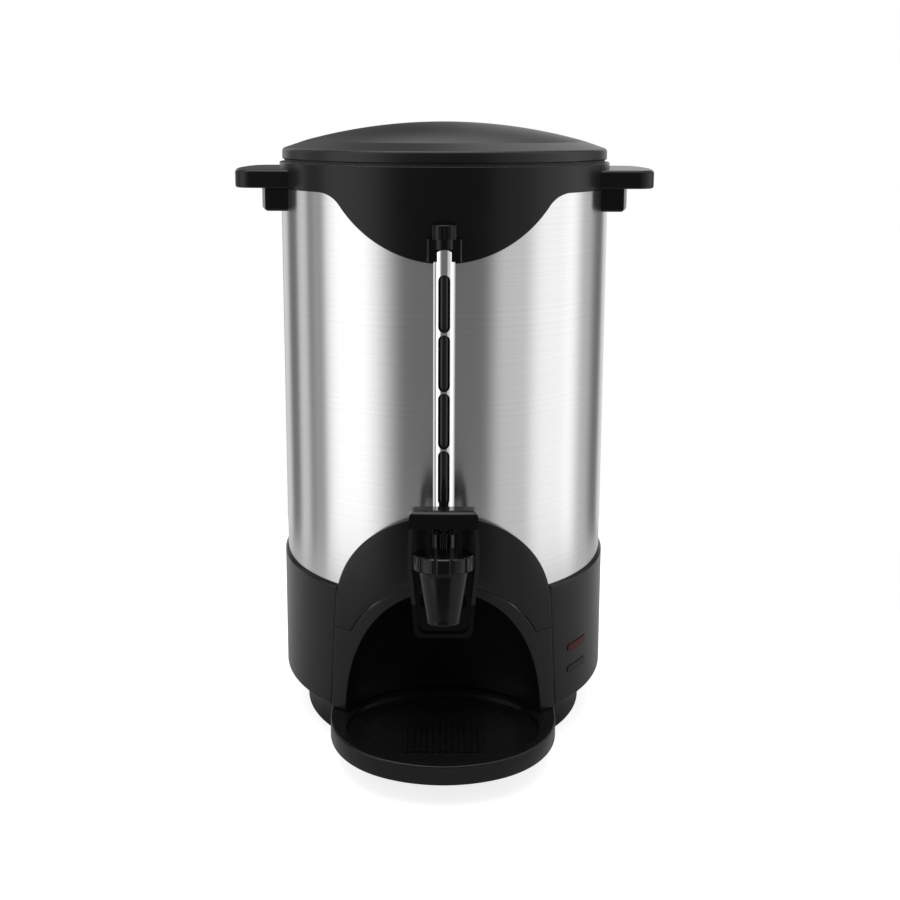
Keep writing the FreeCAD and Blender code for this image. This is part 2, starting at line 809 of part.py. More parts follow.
def front_nose_outside_guard():
    """What would stand in front of the guard's rounded end."""
    near = block((-GUARD_R, -FAR, 0), (GUARD_R, GUARD_Y - GUARD_R + GUARD_SKIN, GUARD_TOP))
    return near


def gauge_bracket():
    back = -COLLAR_R - FIT
    body = block((-BRACKET_HALF, BRACKET_FRONT, BRACKET_BOTTOM), (BRACKET_HALF, back, BRACKET_TOP))
    body = rounded(body, 2.0, lambda e: e.BoundBox.ZLength > 5 and e.BoundBox.YMin < BRACKET_FRONT + 0.1)
    body = body.fuse(disc(CAP_R - 1.5, GUARD_TOP + EASE, BRACKET_TOP + 3.0, 0.0, GLASS_Y))
    body = body.cut(disc(COLLAR_R + FIT, 0, FAR))
    body = body.cut(guard_sheet(FIT, 0.0))
    body = body.cut(front_nose_outside_guard())
    return body.cut(disc(GLASS_R + FIT, 0, BRACKET_TOP - 1.0, 0.0, GLASS_Y))


def gauge_cap():
    cap = disc(CAP_R, BRACKET_TOP, CAP_TOP, 0.0, GLASS_Y)
    cap = rounded(cap, 1.2, at_height(CAP_TOP))
    groove = disc(0.6, 0, FAR, CAP_R + 0.2, 0.0)
    grooves = polar_copies(groove, CAP_FLUTES)
    for copy in grooves:
        copy.translate(Vector(0, GLASS_Y, 0))
    cap = cap.cut(grooves)
    cap = cap.cut(disc(CAP_R - 1.5 + FIT, BRACKET_TOP - 1.0, BRACKET_TOP + 3.0 + FIT, 0.0, GLASS_Y))
    return cap.cut(disc(COLLAR_R + FIT, 0, FAR))


# Tap


def lean(shape):
    """Puts a piece drawn about the tap's own axis at the front of the urn, its tip leaning forward."""
    shape.rotate(ORIGIN, Vector(1, 0, 0), -TAP_LEAN)
    shape.translate(Vector(0, TAP_Y, TAP_Z))
    return shape


def tap_body():
    outside = turned(
        (0.0, CONE_BOTTOM),
        (CONE_TIP_R - 1.5, CONE_BOTTOM),
        (CONE_TIP_R - 0.4, CONE_BOTTOM + 0.5, CONE_TIP_R, CONE_BOTTOM + 1.6),
        (CONE_TOP_R, CONE_TOP),
        (NECK_R, CONE_TOP),
        (NECK_R, NECK_TOP),
        (0.0, NECK_TOP),
    )
    body = lean(outside)
    back = (0, SHANK_END, SHANK_Z)
    body = body.fuse(rod(SHANK_R, (0, TAP_Y, SHANK_Z), back))
    body = body.fuse(rod(FLANGE_R, (0, FLANGE_FRONT, SHANK_Z), (0, FLANGE_BACK, SHANK_Z)))
    socket = round_front(SOCKET_HALF, GUARD_Y, SHANK_Z, GUARD_BOTTOM, -SHELL_R - EASE)
    body = body.fuse(socket)
    body = body.cut(disc(GLASS_R + FIT, GLASS_BOTTOM, FAR, 0.0, GLASS_Y))
    body = body.cut(disc(GLASS_R - GLASS_WALL, SHANK_Z, FAR, 0.0, GLASS_Y))
    body = body.cut(rod(SHANK_BORE, (0, TAP_Y, SHANK_Z), back))
    inside = turned(
        (0.0, CONE_BOTTOM - 1.0),
        (OUTLET_R, CONE_BOTTOM - 1.0),
        (SEAT_R, CHAMBER_FLOOR - 2.0),
        (SEAT_R, CHAMBER_FLOOR),
        (CHAMBER_R, CHAMBER_FLOOR + SEAT_CONE),
        (CHAMBER_R, NECK_TOP + 1.0),
        (0.0, NECK_TOP + 1.0),
    )
    return body.cut(lean(inside))


def tap_nut():
    nut = hexagon(NUT_R, 0.0, NUT_BACK - NUT_FRONT)
    nut.rotate(ORIGIN, Vector(1, 0, 0), -90)
    nut.translate(Vector(0, NUT_FRONT, SHANK_Z))
    return nut.cut(rod(SHANK_R + FIT, (0, -FAR, SHANK_Z), (0, 0, SHANK_Z)))


def shank_washer(radius, front, back):
    washer = rod(radius, (0, front, SHANK_Z), (0, back, SHANK_Z))
    return washer.cut(rod(SHANK_R + FIT, (0, -FAR, SHANK_Z), (0, 0, SHANK_Z)))


def inner_gasket():
    washer = shank_washer(NUT_R - 2.5, -TANK_R - 1.0, NUT_FRONT)
    return washer.common(disc(TANK_R - FIT, 0, FAR))


def outer_gasket():
    washer = shank_washer(FLANGE_R - 0.5, FLANGE_BACK, -HOUSING_R + 2.0)
    return washer.cut(disc(HOUSING_R + FIT, 0, FAR)).cut(tap_socket_space())


def tap_socket_space():
    return round_front(SOCKET_HALF + FIT, GUARD_Y, SHANK_Z, GUARD_BOTTOM, 0.0)


def tap_bonnet():
    bonnet = turned(
        (STEM_R + RUN, BONNET_HALF - BONNET_PLATE),
        (NECK_R + FIT, BONNET_HALF - BONNET_PLATE),
        (NECK_R + FIT, -BONNET_HALF),
        (BONNET_R - 0.6, -BONNET_HALF),
        (BONNET_R, -BONNET_HALF + 0.6),
        (BONNET_R, BONNET_HALF - 0.8),
        (BONNET_R - 0.8, BONNET_HALF),
        (STEM_R + RUN, BONNET_HALF),
    )
    notch = disc(NOTCH_R, -FAR, FAR, BONNET_R + 0.4, 0.0)
    notch.rotate(ORIGIN, Z_AXIS, 180.0 / BONNET_NOTCHES)
    bonnet = bonnet.cut(polar_copies(notch, BONNET_NOTCHES))
    for side in (-1, 1):
        bonnet = bonnet.fuse(yoke_post(side))
    return lean(bonnet)


def yoke_post(side):
    inner, outer = sorted((side * YOKE_IN, side * YOKE_OUT))
    post = block((inner, PIVOT_Y - YOKE_R, BONNET_HALF - 1.0), (outer, PIVOT_Y + YOKE_R, PIVOT_Z))
    post = post.fuse(rod(YOKE_R, (inner, PIVOT_Y, PIVOT_Z), (outer, PIVOT_Y, PIVOT_Z)))
    return post.cut(rod(PIN_R + RUN, (-FAR, PIVOT_Y, PIVOT_Z), (FAR, PIVOT_Y, PIVOT_Z)))


def tap_stem():
    stem = turned(
        (0.0, STEM_BOTTOM),
        (STEM_R, STEM_BOTTOM),
        (STEM_R, STEM_HEAD_BOTTOM),
        (STEM_HEAD_R, STEM_HEAD_BOTTOM),
        (STEM_HEAD_R, STEM_HEAD_TOP),
        (0.0, STEM_HEAD_TOP),
    )
    return lean(stem)


def valve_cup():
    foot = SEAT_R - 0.15
    low = CHAMBER_FLOOR + 0.2
    rise = SEAT_CONE / (CHAMBER_R - SEAT_R)
    cup = turned(
        (0.0, low),
        (foot, low),
        (CUP_R, low + (CUP_R - foot) * rise),
        (CUP_R - 1.0, CUP_TOP),
        (STEM_R + FIT, CUP_TOP),
        (STEM_R + FIT, STEM_BOTTOM - FIT),
        (0.0, STEM_BOTTOM - FIT),
    )
    return lean(cup)


def valve_spring():
    """Closes the valve: a coil between the bonnet's plate and the cup, with its ends resting on both."""
    top = BONNET_HALF - BONNET_PLATE - SPRING_WIRE
    bottom = CUP_TOP + SPRING_WIRE
    pitch = (top - bottom) / SPRING_TURNS
    path = Part.makeHelix(pitch, top - bottom, SPRING_R)
    wire = Part.Wire(path.Edges)
    section = Part.Wire(Part.makeCircle(SPRING_WIRE, Vector(SPRING_R, 0, 0), Vector(0, 1, 0)))
    coil = wire.makePipeShell([section], True, True)
    coil.translate(Vector(0, 0, bottom))
    return lean(coil)


def lever_outline(inset):
    """The lever from the front: a bar on two arms that run down to a shield-like paddle."""
    bar = BAR_HALF - inset
    arm = ARM_HALF - inset
    toe = PADDLE_HALF - inset
    low = PADDLE_BOTTOM + inset
    round_ = BAR_ROUND * (1 - math.sqrt(0.5))
    right = [
        (bar, BAR_TOP - BAR_ROUND),
        (arm, BONNET_HALF + 1.5),
        (arm, -BONNET_HALF - 1.5),
        (toe, PADDLE_BOTTOM + 6.0),
        (toe - 1.5, low + 1.5, toe - 5.5, low),
    ]
    left = [
        (5.5 - toe, low),
        (1.5 - toe, low + 1.5, -toe, PADDLE_BOTTOM + 6.0),
        (-arm, -BONNET_HALF - 1.5),
        (-arm, BONNET_HALF + 1.5),
        (-bar, BAR_TOP - BAR_ROUND),
    ]
    top = [
        (round_ - bar, BAR_TOP - round_, BAR_ROUND - bar, BAR_TOP),
        (bar - BAR_ROUND, BAR_TOP),
        (bar - round_, BAR_TOP - round_, bar, BAR_TOP - BAR_ROUND),
    ]
    return front_prism(*(right + left + top), near=-TAP_SPAN, far=TAP_SPAN)


def lever_side():
    """The lever from the side, from the bar's back round the paddle to the bar's front."""
    round_ = BAR_ROUND * (1 - math.sqrt(0.5))
    plate = face(
        sideways,
        (BAR_BACK - BAR_ROUND, BAR_TOP),
        (BAR_BACK - round_, BAR_TOP - round_, BAR_BACK, BAR_TOP - BAR_ROUND),
        (BAR_BACK + 0.5, BAR_BOTTOM),
        (PADDLE_BACK, BONNET_HALF),
        (PADDLE_BACK, PADDLE_BOTTOM),
        (PADDLE_BACK - 6.0, PADDLE_BOTTOM),
        (PADDLE_BACK - 7.5, -30.0),
        (4.0, -BONNET_HALF),
        (-4.0, BAR_BOTTOM),
        (BAR_FRONT, BAR_BOTTOM),
        (BAR_FRONT, BAR_TOP - BAR_ROUND),
        (BAR_FRONT + round_, BAR_TOP - round_, BAR_FRONT + BAR_ROUND, BAR_TOP),
    )
    plate.translate(Vector(-TAP_SPAN, 0, 0))
    return plate.extrude(Vector(2 * TAP_SPAN, 0, 0))


def tap_lever():
    outer = lever_outline(0.0)
    open_front = lever_outline(ARM_THICK).common(block((-TAP_SPAN, -TAP_SPAN, -TAP_SPAN), (TAP_SPAN, TAP_SPAN, BAR_BOTTOM)))
    lever = outer.cut(open_front).common(lever_side())
    plate = block((-TAP_SPAN, PADDLE_BACK - PADDLE_THICK, PADDLE_BOTTOM), (TAP_SPAN, PADDLE_BACK, -BONNET_HALF))
    window = block((-PADDLE_WINDOW, -TAP_SPAN, PADDLE_WINDOW_Z), (PADDLE_WINDOW, TAP_SPAN, 0))
    lever = lever.fuse(plate.common(outer).cut(window))
    pocket = block((-POCKET_HALF, POCKET_FRONT, BAR_BOTTOM - 1.0), (POCKET_HALF, POCKET_BACK, POCKET_ROOF))
    lever = lever.cut(pocket)
    low = FINGER_TOP - FINGER_THICK
    for side in (-1, 1):
        inner, far_side = sorted((side * FINGER_IN, side * FINGER_OUT))
        finger = block((inner, -3.5, low), (far_side, BAR_BACK - 0.5, FINGER_TOP))
        web = block((inner, POCKET_BACK - 1.0, low), (far_side, BAR_BACK - 0.5, BAR_BOTTOM + 2.0))
        lever = lever.fuse([finger, web])
    lever = lever.cut(rod(PIN_R + 0.02, (-PIN_HALF, PIVOT_Y, PIVOT_Z), (PIN_HALF, PIVOT_Y, PIVOT_Z)))
    return lean(lever)


def lever_pin():
    return lean(rod(PIN_R, (FIT - PIN_HALF, PIVOT_Y, PIVOT_Z), (PIN_HALF - FIT, PIVOT_Y, PIVOT_Z)))


# Brewing set


def riser_tube():
    low = RISER_FOOT_TOP - 4.0
    tube = ring(RISER_R - RISER_WALL, RISER_R, low, RISER_TOP)
    stop = BASKET_BOTTOM
    return tube.fuse(ring(RISER_R - 0.3, RISER_COLLAR_R, stop - 3.0, stop))


def riser_foot():
    """A bell that stands in the tank's sump and is crimped on the tube."""
    sump = TANK_FLOOR - SUMP_DEPTH
    wall = 1.0
    bell = turned(
        (RISER_FOOT_R - wall, sump),
        (RISER_FOOT_R, sump),
        (RISER_FOOT_R, sump + 4.0),
        (RISER_R + 2 * wall, RISER_FOOT_TOP - 6.0),
        (RISER_R + 2 * wall, RISER_FOOT_TOP),
        (RISER_R + FIT, RISER_FOOT_TOP),
        (RISER_R + FIT, RISER_FOOT_TOP - 4.0),
        (RISER_R - RISER_WALL, RISER_FOOT_TOP - 4.0),
        (RISER_R - RISER_WALL, RISER_FOOT_TOP - 6.0),
        (RISER_FOOT_R - wall, sump + 4.0 - wall),
    )
    port = rod(2.0, (-FAR, 0, sump + 1.0), (FAR, 0, sump + 1.0))
    return bell.cut(port)


def hole_rows(low, high):
    holes = []
    for radius, count in zip(STRAINER_RINGS, STRAINER_COUNTS):
        holes += polar_copies(disc(BASKET_HOLE_R, low, high, radius, 0.0), count)
    return holes


def coffee_basket():
    wall = 1.0
    hub = RISER_R + FIT
    basket = turned(
        (hub, BASKET_BOTTOM),
        (BASKET_R - 3.0, BASKET_BOTTOM),
        (BASKET_R, BASKET_TOP - wall),
        (BASKET_R + 2.0, BASKET_TOP - wall),
        (BASKET_R + 2.0, BASKET_TOP),
        (BASKET_R - wall, BASKET_TOP),
        (BASKET_R - 3.0 - wall, BASKET_BOTTOM + wall),
        (hub + wall, BASKET_BOTTOM + wall),
        (hub + wall, BASKET_TOP - 4.0),
        (hub, BASKET_TOP - 4.0),
    )
    return basket.cut(hole_rows(BASKET_BOTTOM - 1.0, BASKET_BOTTOM + 2.0))


def basket_cover():
    wall = 1.0
    hub = RISER_R + EASE
    cover = turned(
        (hub, COVER_TOP - 4.0),
        (BASKET_R - 6.0, BASKET_TOP + 2.0),
        (BASKET_R - 4.0, BASKET_TOP),
        (BASKET_R + 1.5, BASKET_TOP),
        (BASKET_R + 1.5, BASKET_TOP + wall),
        (BASKET_R - 4.0, BASKET_TOP + wall),
        (BASKET_R - 6.0, BASKET_TOP + 2.0 + wall),
        (hub + wall, COVER_TOP - 4.0 + wall),
        (hub + wall, COVER_TOP),
        (hub, COVER_TOP),
    )
    return cover.cut(hole_rows(BASKET_TOP - 1.0, COVER_TOP - 0.1))


# Heater and wiring


def heater_plate():
    under = TANK_FLOOR - SHEET
    return ring(SUMP_R + SHEET + EASE, PLATE_R, under - PLATE_THICK, under)


def open_ring(ring_r, rod_r):
    """A rod bent to a ring that stays open at the back, where its ends turn down."""
    z = TANK_FLOOR - SHEET - PLATE_THICK - rod_r
    half = RING_OPEN_ANGLE / 2
    ends = [polar(ring_r, 90 + half, z), polar(ring_r, 90 - half, z)]
    turn = 360 - RING_OPEN_ANGLE
    hoop = Part.makeTorus(ring_r, rod_r, ORIGIN, Z_AXIS, -180, 180, turn)
    hoop.rotate(ORIGIN, Z_AXIS, 90 + half)
    hoop.translate(Vector(0, 0, z))
    for end in ends:
        hoop = hoop.fuse(Part.makeSphere(rod_r, end))
        hoop = hoop.fuse(disc(rod_r, z - TERMINAL_DROP, z, end.x, end.y))
    return hoop


def thermostat():
    top = TANK_FLOOR - SHEET - SUMP_DEPTH
    body = disc(THERMOSTAT_R, top - THERMOSTAT_HEIGHT, top, THERMOSTAT_X, 0.0)
    for y in (-4.0, 4.0):
        tag = block((THERMOSTAT_X - 3.0, y - 0.4, top - THERMOSTAT_HEIGHT - 7.0), (THERMOSTAT_X + 3.0, y + 0.4, top - 2.0))
        body = body.fuse(tag)
    return body


def thermal_fuse():
    z = TANK_FLOOR - SHEET - SUMP_DEPTH - FUSE_R
    return rod(FUSE_R, (FUSE_X, -FUSE_LENGTH / 2, z), (FUSE_X, FUSE_LENGTH / 2, z))


def terminal_block():
    wide, deep, high = BLOCK_SIZE
    body = block((-wide / 2, BLOCK_Y - deep / 2, PAN_TOP), (wide / 2, BLOCK_Y + deep / 2, PAN_TOP + high))
    for x in (-wide / 3, 0.0, wide / 3):
        body = body.cut(disc(2.5, PAN_TOP + high - 6.0, FAR, x, BLOCK_Y - 4.0))
    return body


def cord_gland():
    skin = SKIRT_R
    body = rod(GLAND_R, (0, skin - SKIRT_WALL - 9.0, GLAND_Z), (0, skin + GLAND_FLANGE, GLAND_Z))
    flange = rod(GLAND_FLANGE_R, (0, skin - 3.0, GLAND_Z), (0, skin + GLAND_FLANGE, GLAND_Z))
    body = body.fuse(flange.cut(disc(SKIRT_R + FIT, 0, FAR)))
    lock = rod(GLAND_R + 2.0, (0, skin - SKIRT_WALL - 4.0, GLAND_Z), (0, skin, GLAND_Z))
    body = body.fuse(lock.common(disc(SKIRT_R - SKIRT_WALL - FIT, 0, FAR)))
    return body.cut(rod(GLAND_BORE, (0, 0, GLAND_Z), (0, FAR, GLAND_Z)))


def lead(*stops):
    """An insulated wire along straight runs with round elbows."""
    pieces = [rod(WIRE_R, a, b) for a, b in zip(stops, stops[1:])]
    elbows = [Part.makeSphere(WIRE_R, Vector(*stop)) for stop in stops[1:-1]]
    return pieces[0].fuse(pieces[1:] + elbows)


def ring_end(ring_r, rod_r, side):
    end = polar(ring_r, 90 + side * RING_OPEN_ANGLE / 2)
    return (end.x, end.y, TANK_FLOOR - SHEET - PLATE_THICK - rod_r - TERMINAL_DROP)


def wiring():
    wide, deep, high = BLOCK_SIZE
    top = PAN_TOP + high
    wires = []
    for side in (-1, 1):
        near = ring_end(MAIN_RING_R, MAIN_ROD_R, side)
        post = (-side * wide / 3, BLOCK_Y + 6.0, top)
        wires.append(lead(post, (post[0], post[1], 48.0), (near[0], near[1], 60.0), near))
        warm = ring_end(WARM_RING_R, WARM_ROD_R, side)
        inner = (-side * wide / 6, BLOCK_Y + 2.0, top)
        wires.append(lead(inner, (inner[0], inner[1], 42.0), (warm[0], warm[1], 54.0), warm))
    lamp = polar(SKIRT_R - SKIRT_WALL - LAMP_SEAT - LAMP_HOLDER - WIRE_R, LAMP_ANGLE - 90.0)
    for shift, height in zip((0.0, 4.0), LAMP_HEIGHTS):
        start = (wide / 2 + WIRE_R / 2, BLOCK_Y - shift, PAN_TOP + high / 2)
        wires.append(lead(start, (70.0, BLOCK_Y - shift, 36.0), (lamp.x - 14.0, 0.0, height), (lamp.x, lamp.y, height)))
    return Part.makeCompound(wires)


# Lamps


def lamp_prism(height, grow):
    """A round-ended slot, driven in square to the skirt at the lamps' angle."""
    half = LAMP_LENGTH / 2 - LAMP_WIDTH / 2
    radius = LAMP_WIDTH / 2 + grow
    slot = block((-half, -FAR, height - radius), (half, 0, height + radius))
    for x in (-half, half):
        slot = slot.fuse(rod(radius, (x, -FAR, height), (x, 0, height)))
    slot.rotate(ORIGIN, Z_AXIS, LAMP_ANGLE)
    return slot


def lamp_lens(height):
    skin = ring(SKIRT_R - SKIRT_WALL - 1.0, SKIRT_R + LAMP_PROUD, height - LAMP_WIDTH, height + LAMP_WIDTH)
    return skin.common(lamp_prism(height, 0.0))


def lamp_holder():
    inner = SKIRT_R - SKIRT_WALL - LAMP_SEAT - LAMP_HOLDER
    outer = SKIRT_R - SKIRT_WALL - 1.0 - FIT
    low, high = min(LAMP_HEIGHTS), max(LAMP_HEIGHTS)
    body = ring(inner, outer, low - LAMP_WIDTH, high + LAMP_WIDTH)
    wedge = block((-LAMP_LENGTH / 2 - 2.0, -FAR, 0), (LAMP_LENGTH / 2 + 2.0, 0, FAR))
    wedge.rotate(ORIGIN, Z_AXIS, LAMP_ANGLE)
    return body.common(wedge)


PIECES = {
    "base_pan": base_pan,
    "foot_pads": foot_pads,
    "base_screws": base_screws,
    "tie_stud": tie_stud,
    "tie_nut": tie_nut,
    "base_skirt": skirt,
    "niche_housing": niche_housing,
    "tap_cover": tap_cover,
    "drip_tray": tray_base,
    "drip_dish": drip_dish,
    "outer_shell": shell,
    "inner_tank": tank,
    "collar": collar,
    "lid": lid,
    "lid_seal": lid_seal,
    "handle_right": right_handle,
    "handle_left": lambda: mirrored(right_handle()),
    "handle_screws": handle_screws,
    "gauge_guard": gauge_guard,
    "gauge_glass": gauge_glass,
    "gauge_bracket": gauge_bracket,
    "gauge_cap": gauge_cap,
    "tap_body": tap_body,
    "tap_nut": tap_nut,
    "tap_inner_gasket": inner_gasket,
    "tap_outer_gasket": outer_gasket,
    "tap_bonnet": tap_bonnet,
    "tap_stem": tap_stem,
    "valve_cup": valve_cup,
    "valve_spring": valve_spring,
    "tap_lever": tap_lever,
    "lever_pin": lever_pin,
    "riser_tube": riser_tube,
    "riser_foot": riser_foot,
    "coffee_basket": coffee_basket,
    "basket_cover": basket_cover,
    "heater_plate": heater_plate,
    "main_element": lambda: open_ring(MAIN_RING_R, MAIN_ROD_R),
    "keep_warm_element": lambda: open_ring(WARM_RING_R, WARM_ROD_R),
    "thermostat": thermostat,
    "thermal_fuse": thermal_fuse,
    "terminal_block": terminal_block,
    "cord_gland": cord_gland,
    "wiring": wiring,
    "heating_lamp_lens": lambda: lamp_lens(LAMP_HEIGHTS[0]),
    "serving_lamp_lens": lambda: lamp_lens(LAMP_HEIGHTS[1]),
    "lamp_holder": lamp_holder,
}

os.makedirs("parts", exist_ok=True)
for piece_name, make in PIECES.items():
    save(piece_name, make())
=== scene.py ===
import json
import math

import bpy
import numpy as np
from mathutils import Matrix


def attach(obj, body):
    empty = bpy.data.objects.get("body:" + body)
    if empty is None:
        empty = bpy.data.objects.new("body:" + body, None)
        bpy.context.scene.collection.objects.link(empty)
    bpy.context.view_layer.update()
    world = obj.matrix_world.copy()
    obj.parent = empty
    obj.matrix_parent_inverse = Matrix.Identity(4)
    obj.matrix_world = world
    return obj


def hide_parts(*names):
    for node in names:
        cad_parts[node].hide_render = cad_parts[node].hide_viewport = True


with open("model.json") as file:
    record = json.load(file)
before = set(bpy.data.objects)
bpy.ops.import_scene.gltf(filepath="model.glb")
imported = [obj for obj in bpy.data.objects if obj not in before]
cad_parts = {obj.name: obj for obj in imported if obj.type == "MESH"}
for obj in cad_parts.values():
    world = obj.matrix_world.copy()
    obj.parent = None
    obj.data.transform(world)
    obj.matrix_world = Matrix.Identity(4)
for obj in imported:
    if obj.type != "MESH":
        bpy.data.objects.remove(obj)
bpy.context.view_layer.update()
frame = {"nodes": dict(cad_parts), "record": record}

bl_info = {
    "name": "Coffee Urn",
    "version": (1, 0, 0),
    "blender": (4, 5, 0),
    "location": "3D View > Sidebar > Coffee Urn",
    "description": "Dresses the coffee urn's frame with finished surfaces, materials, light and a camera",
    "category": "Add Mesh",
}

# Forms that the finished surfaces share with the frame. Metres; the vessel's axis is Z and the front faces -Y.
SHELL_R = 0.115
SHELL_SHEET = 0.0008
SHELL_LOW = 0.100
SHELL_HIGH = 0.392
SKIRT_R = 0.117
SKIRT_LOW = 0.030
SKIRT_HIGH = 0.1185
SKIRT_SEAT_R = 0.1153
SKIRT_WALL = 0.0024
SKIRT_LIP = 0.0017
HOUSING_R = 0.1185
HOUSING_WALL = 0.0027
ARCH_R = 0.0725
ARCH_Z = 0.1032
ARCH_FLARE = math.radians(3.0)
SEAM_R = 0.068
SEAM_Z = 0.061
SEAM_FOOT = 0.089
SEAM_GAP = 0.0003
SOCKET_HALF = 0.0083
SOCKET_Z = 0.1415
NICHE_Y = -0.137
NICHE_R = 0.0762
NICHE_HEIGHT = 0.0981
NICHE_WALL = 0.0025
NICHE_PLAY = 0.0028
TRAY_TOP = 0.0295
COLLAR_R = 0.1159
COLLAR_LOW = 0.380
COLLAR_HIGH = 0.3975
BIB_R = 0.082
BIB_Z = 0.4196
BIB_FILLET = 0.018
LID_R = 0.114
LID_LOW = 0.3993
LID_WALL_TOP = 0.4053
LID_BAND_R = 0.098
LID_BAND_TOP = 0.412
LID_WELL = 0.406
LID_CREST = 0.4252
RIDGE_LONG_R = 0.372
RIDGE_CROSS_R = 0.072
RIDGE_MELT = 0.0012
LEVER_EDGE = 0.0016
SHELL_PLAY = 0.00005
COLLAR_INNER_TOP = 0.1139
COLLAR_CHAMFER = 0.002
SKIRT_FLOOR_R = 0.088
SKIRT_INSET = 0.0006
LID_SHOULDER_IN = 0.0008
LID_SHOULDER_UP = 0.0015
LID_UNDER_R = 0.06
LID_WELL_GAP = 0.0022
LID_POLE_R = 0.0005
COVER_TIP = 0.002

# Finishes
DUST = (0.28, 0.27, 0.26)
CHROME = (0.80, 0.80, 0.81)
RUBBER = (0.03, 0.03, 0.03)
SILICONE = (0.022, 0.022, 0.022)
DRINK_DARK = (0.006, 0.006, 0.006)
DRINK_LIGHT = (0.011, 0.010, 0.009)

# Stage
# The room's soft panels as a steel cylinder shows them: middle, half width and soft edge in degrees round the object
# from its front towards +X, and strength.
PANELS = {
    "left window": (-68.0, 8.0, 34.0, 1.30),
    "left dark post": (-94.0, 1.0, 5.0, -0.40),
    "left strip": (-117.0, 4.0, 6.0, 0.60),
    "left back wall": (-153.0, 6.0, 10.0, 0.56),
    "right screen": (52.0, 10.0, 16.0, 0.52),
    "right window": (86.0, 8.0, 22.0, 1.08),
    "right far window": (112.0, 6.0, 18.0, 0.42),
    "right back wall": (163.0, 8.0, 14.0, 0.62),
}
# The pale ceiling: where it begins and where it is full, in degrees over the horizon, and its strength.
CEILING = (52.0, 74.0, 2.6)
FLOOR_R = 0.42
FLOOR_SIDES = 96
LAMP_PLACE = (-0.25, -0.35, 1.6)
LAMP_SIZE = 1.2
LAMP_TURN = (math.radians(-12), math.radians(-9), 0)
CAMERA_X = -0.0002
SENSOR = 36.0

# The lens's axis meets the photograph away from its middle, by these shares of the photograph's width.
PHOTO_CENTRE_X = 0.00683
PHOTO_CENTRE_Y = -0.1397


# Properties


def length(name, text, value, low, high):
    """A length that a user can set, in metres."""
    limits = {"min": low, "max": high, "unit": "LENGTH", "precision": 5}
    return bpy.props.FloatProperty(name=name, description=text, default=value, **limits)


def amount(name, text, value):
    """A plain number that a user can set, of zero or more."""
    return bpy.props.FloatProperty(name=name, description=text, default=value, min=0.0)


def colour(name, text, value):
    """A colour that a user can set."""
    limits = {"min": 0.0, "max": 1.0, "size": 3, "subtype": "COLOR"}
    return bpy.props.FloatVectorProperty(name=name, description=text, default=value, **limits)


def degrees(name, text, value):
    """An angle that a user can set, given here in degrees."""
    return bpy.props.FloatProperty(name=name, description=text, default=math.radians(value), subtype="ANGLE")


class UrnForm(bpy.types.PropertyGroup):
    columns: bpy.props.IntProperty(
        name="Columns", description="Faces round a turned surface", default=360, min=48, max=720
    )
    edge: length("Edge", "Size of the softened edges of the moulded pieces", 0.0006, 0.0001, 0.002)
    sheet_edge: length("Sheet edge", "Size of the softened edges of the steel sheet", 0.0002, 0.00005, 0.0004)


class UrnColours(bpy.types.PropertyGroup):
    plastic: colour("Plastic", "Satin black of the base, collar and handles", (0.0045, 0.0045, 0.005))
    lid_plastic: colour("Lid plastic", "Black of the lid", (0.009, 0.009, 0.0095))
    tap_plastic: colour("Tap plastic", "Glossy black of the tap", (0.002, 0.002, 0.0023))
    steel: colour("Steel", "Brushed steel of the shell", (0.74, 0.74, 0.74))
    tank: colour("Tank steel", "Plain steel of the tank and the brewing set", (0.62, 0.62, 0.63))
    red_lamp: colour("Heating lamp", "Lens of the upper lamp", (0.06, 0.002, 0.003))
    green_lamp: colour("Serving lamp", "Lens of the lower lamp", (0.012, 0.014, 0.006))


class UrnStage(bpy.types.PropertyGroup):
    lens: bpy.props.FloatProperty(name="Lens", description="Focal length", default=46.875, unit="CAMERA")
    distance: length("Distance", "Camera's distance in front of the vessel's axis", 0.83828, 0.2, 5.0)
    height: length("Height", "Camera's height over the floor", 0.42402, 0.0, 3.0)
    pitch: degrees("Pitch", "How far the camera looks down", 9.744)
    roll: degrees("Roll", "How far the camera is turned about its own axis", 0.1695)
    floor: colour("Floor", "Colour of the floor", (0.50, 0.50, 0.50))
    floor_lift: amount("Floor lift", "White that the camera sees added to the floor", 0.80)
    surround: amount("Surround", "Light of the room between the panels", 0.175)
    top_light: amount("Top light", "Power of the lamp over the object, in watts", 6.0)


# Surfaces


def at_angle(radius, angle, height):
    """A point on a cylinder: the angle is zero at the front and grows towards +X."""
    radius, angle, height = np.broadcast_arrays(radius, angle, height)
    return np.stack([radius * np.sin(angle), -radius * np.cos(angle), height], axis=-1)


def softened(corners, size, steps=4):
    """A closed outline with each corner drawn as a short curve.

    The curve is the square Bezier with the corner as its middle control point and ends at the given size along both
    sides, or at 0.4 of a shorter side. One more point behind each end keeps the flat parts flat in the shading.
    """
    corners = np.asarray(corners, float)
    ends = []
    for side in (np.roll(corners, 1, axis=0), np.roll(corners, -1, axis=0)):
        span = side - corners
        reach = np.linalg.norm(span, axis=1, keepdims=True)
        ends.append(span / reach * np.minimum(size, 0.4 * reach))
    t = np.linspace(0.0, 1.0, steps + 1)[None, :, None]
    before, after = (corners[:, None] + end[:, None] for end in ends)
    curve = (1 - t) ** 2 * before + 2 * t * (1 - t) * corners[:, None] + t**2 * after
    guard = [corners[:, None] + 1.2 * end[:, None] for end in ends]
    return np.concatenate([guard[0], curve, guard[1]], axis=1).reshape(-1, corners.shape[1])


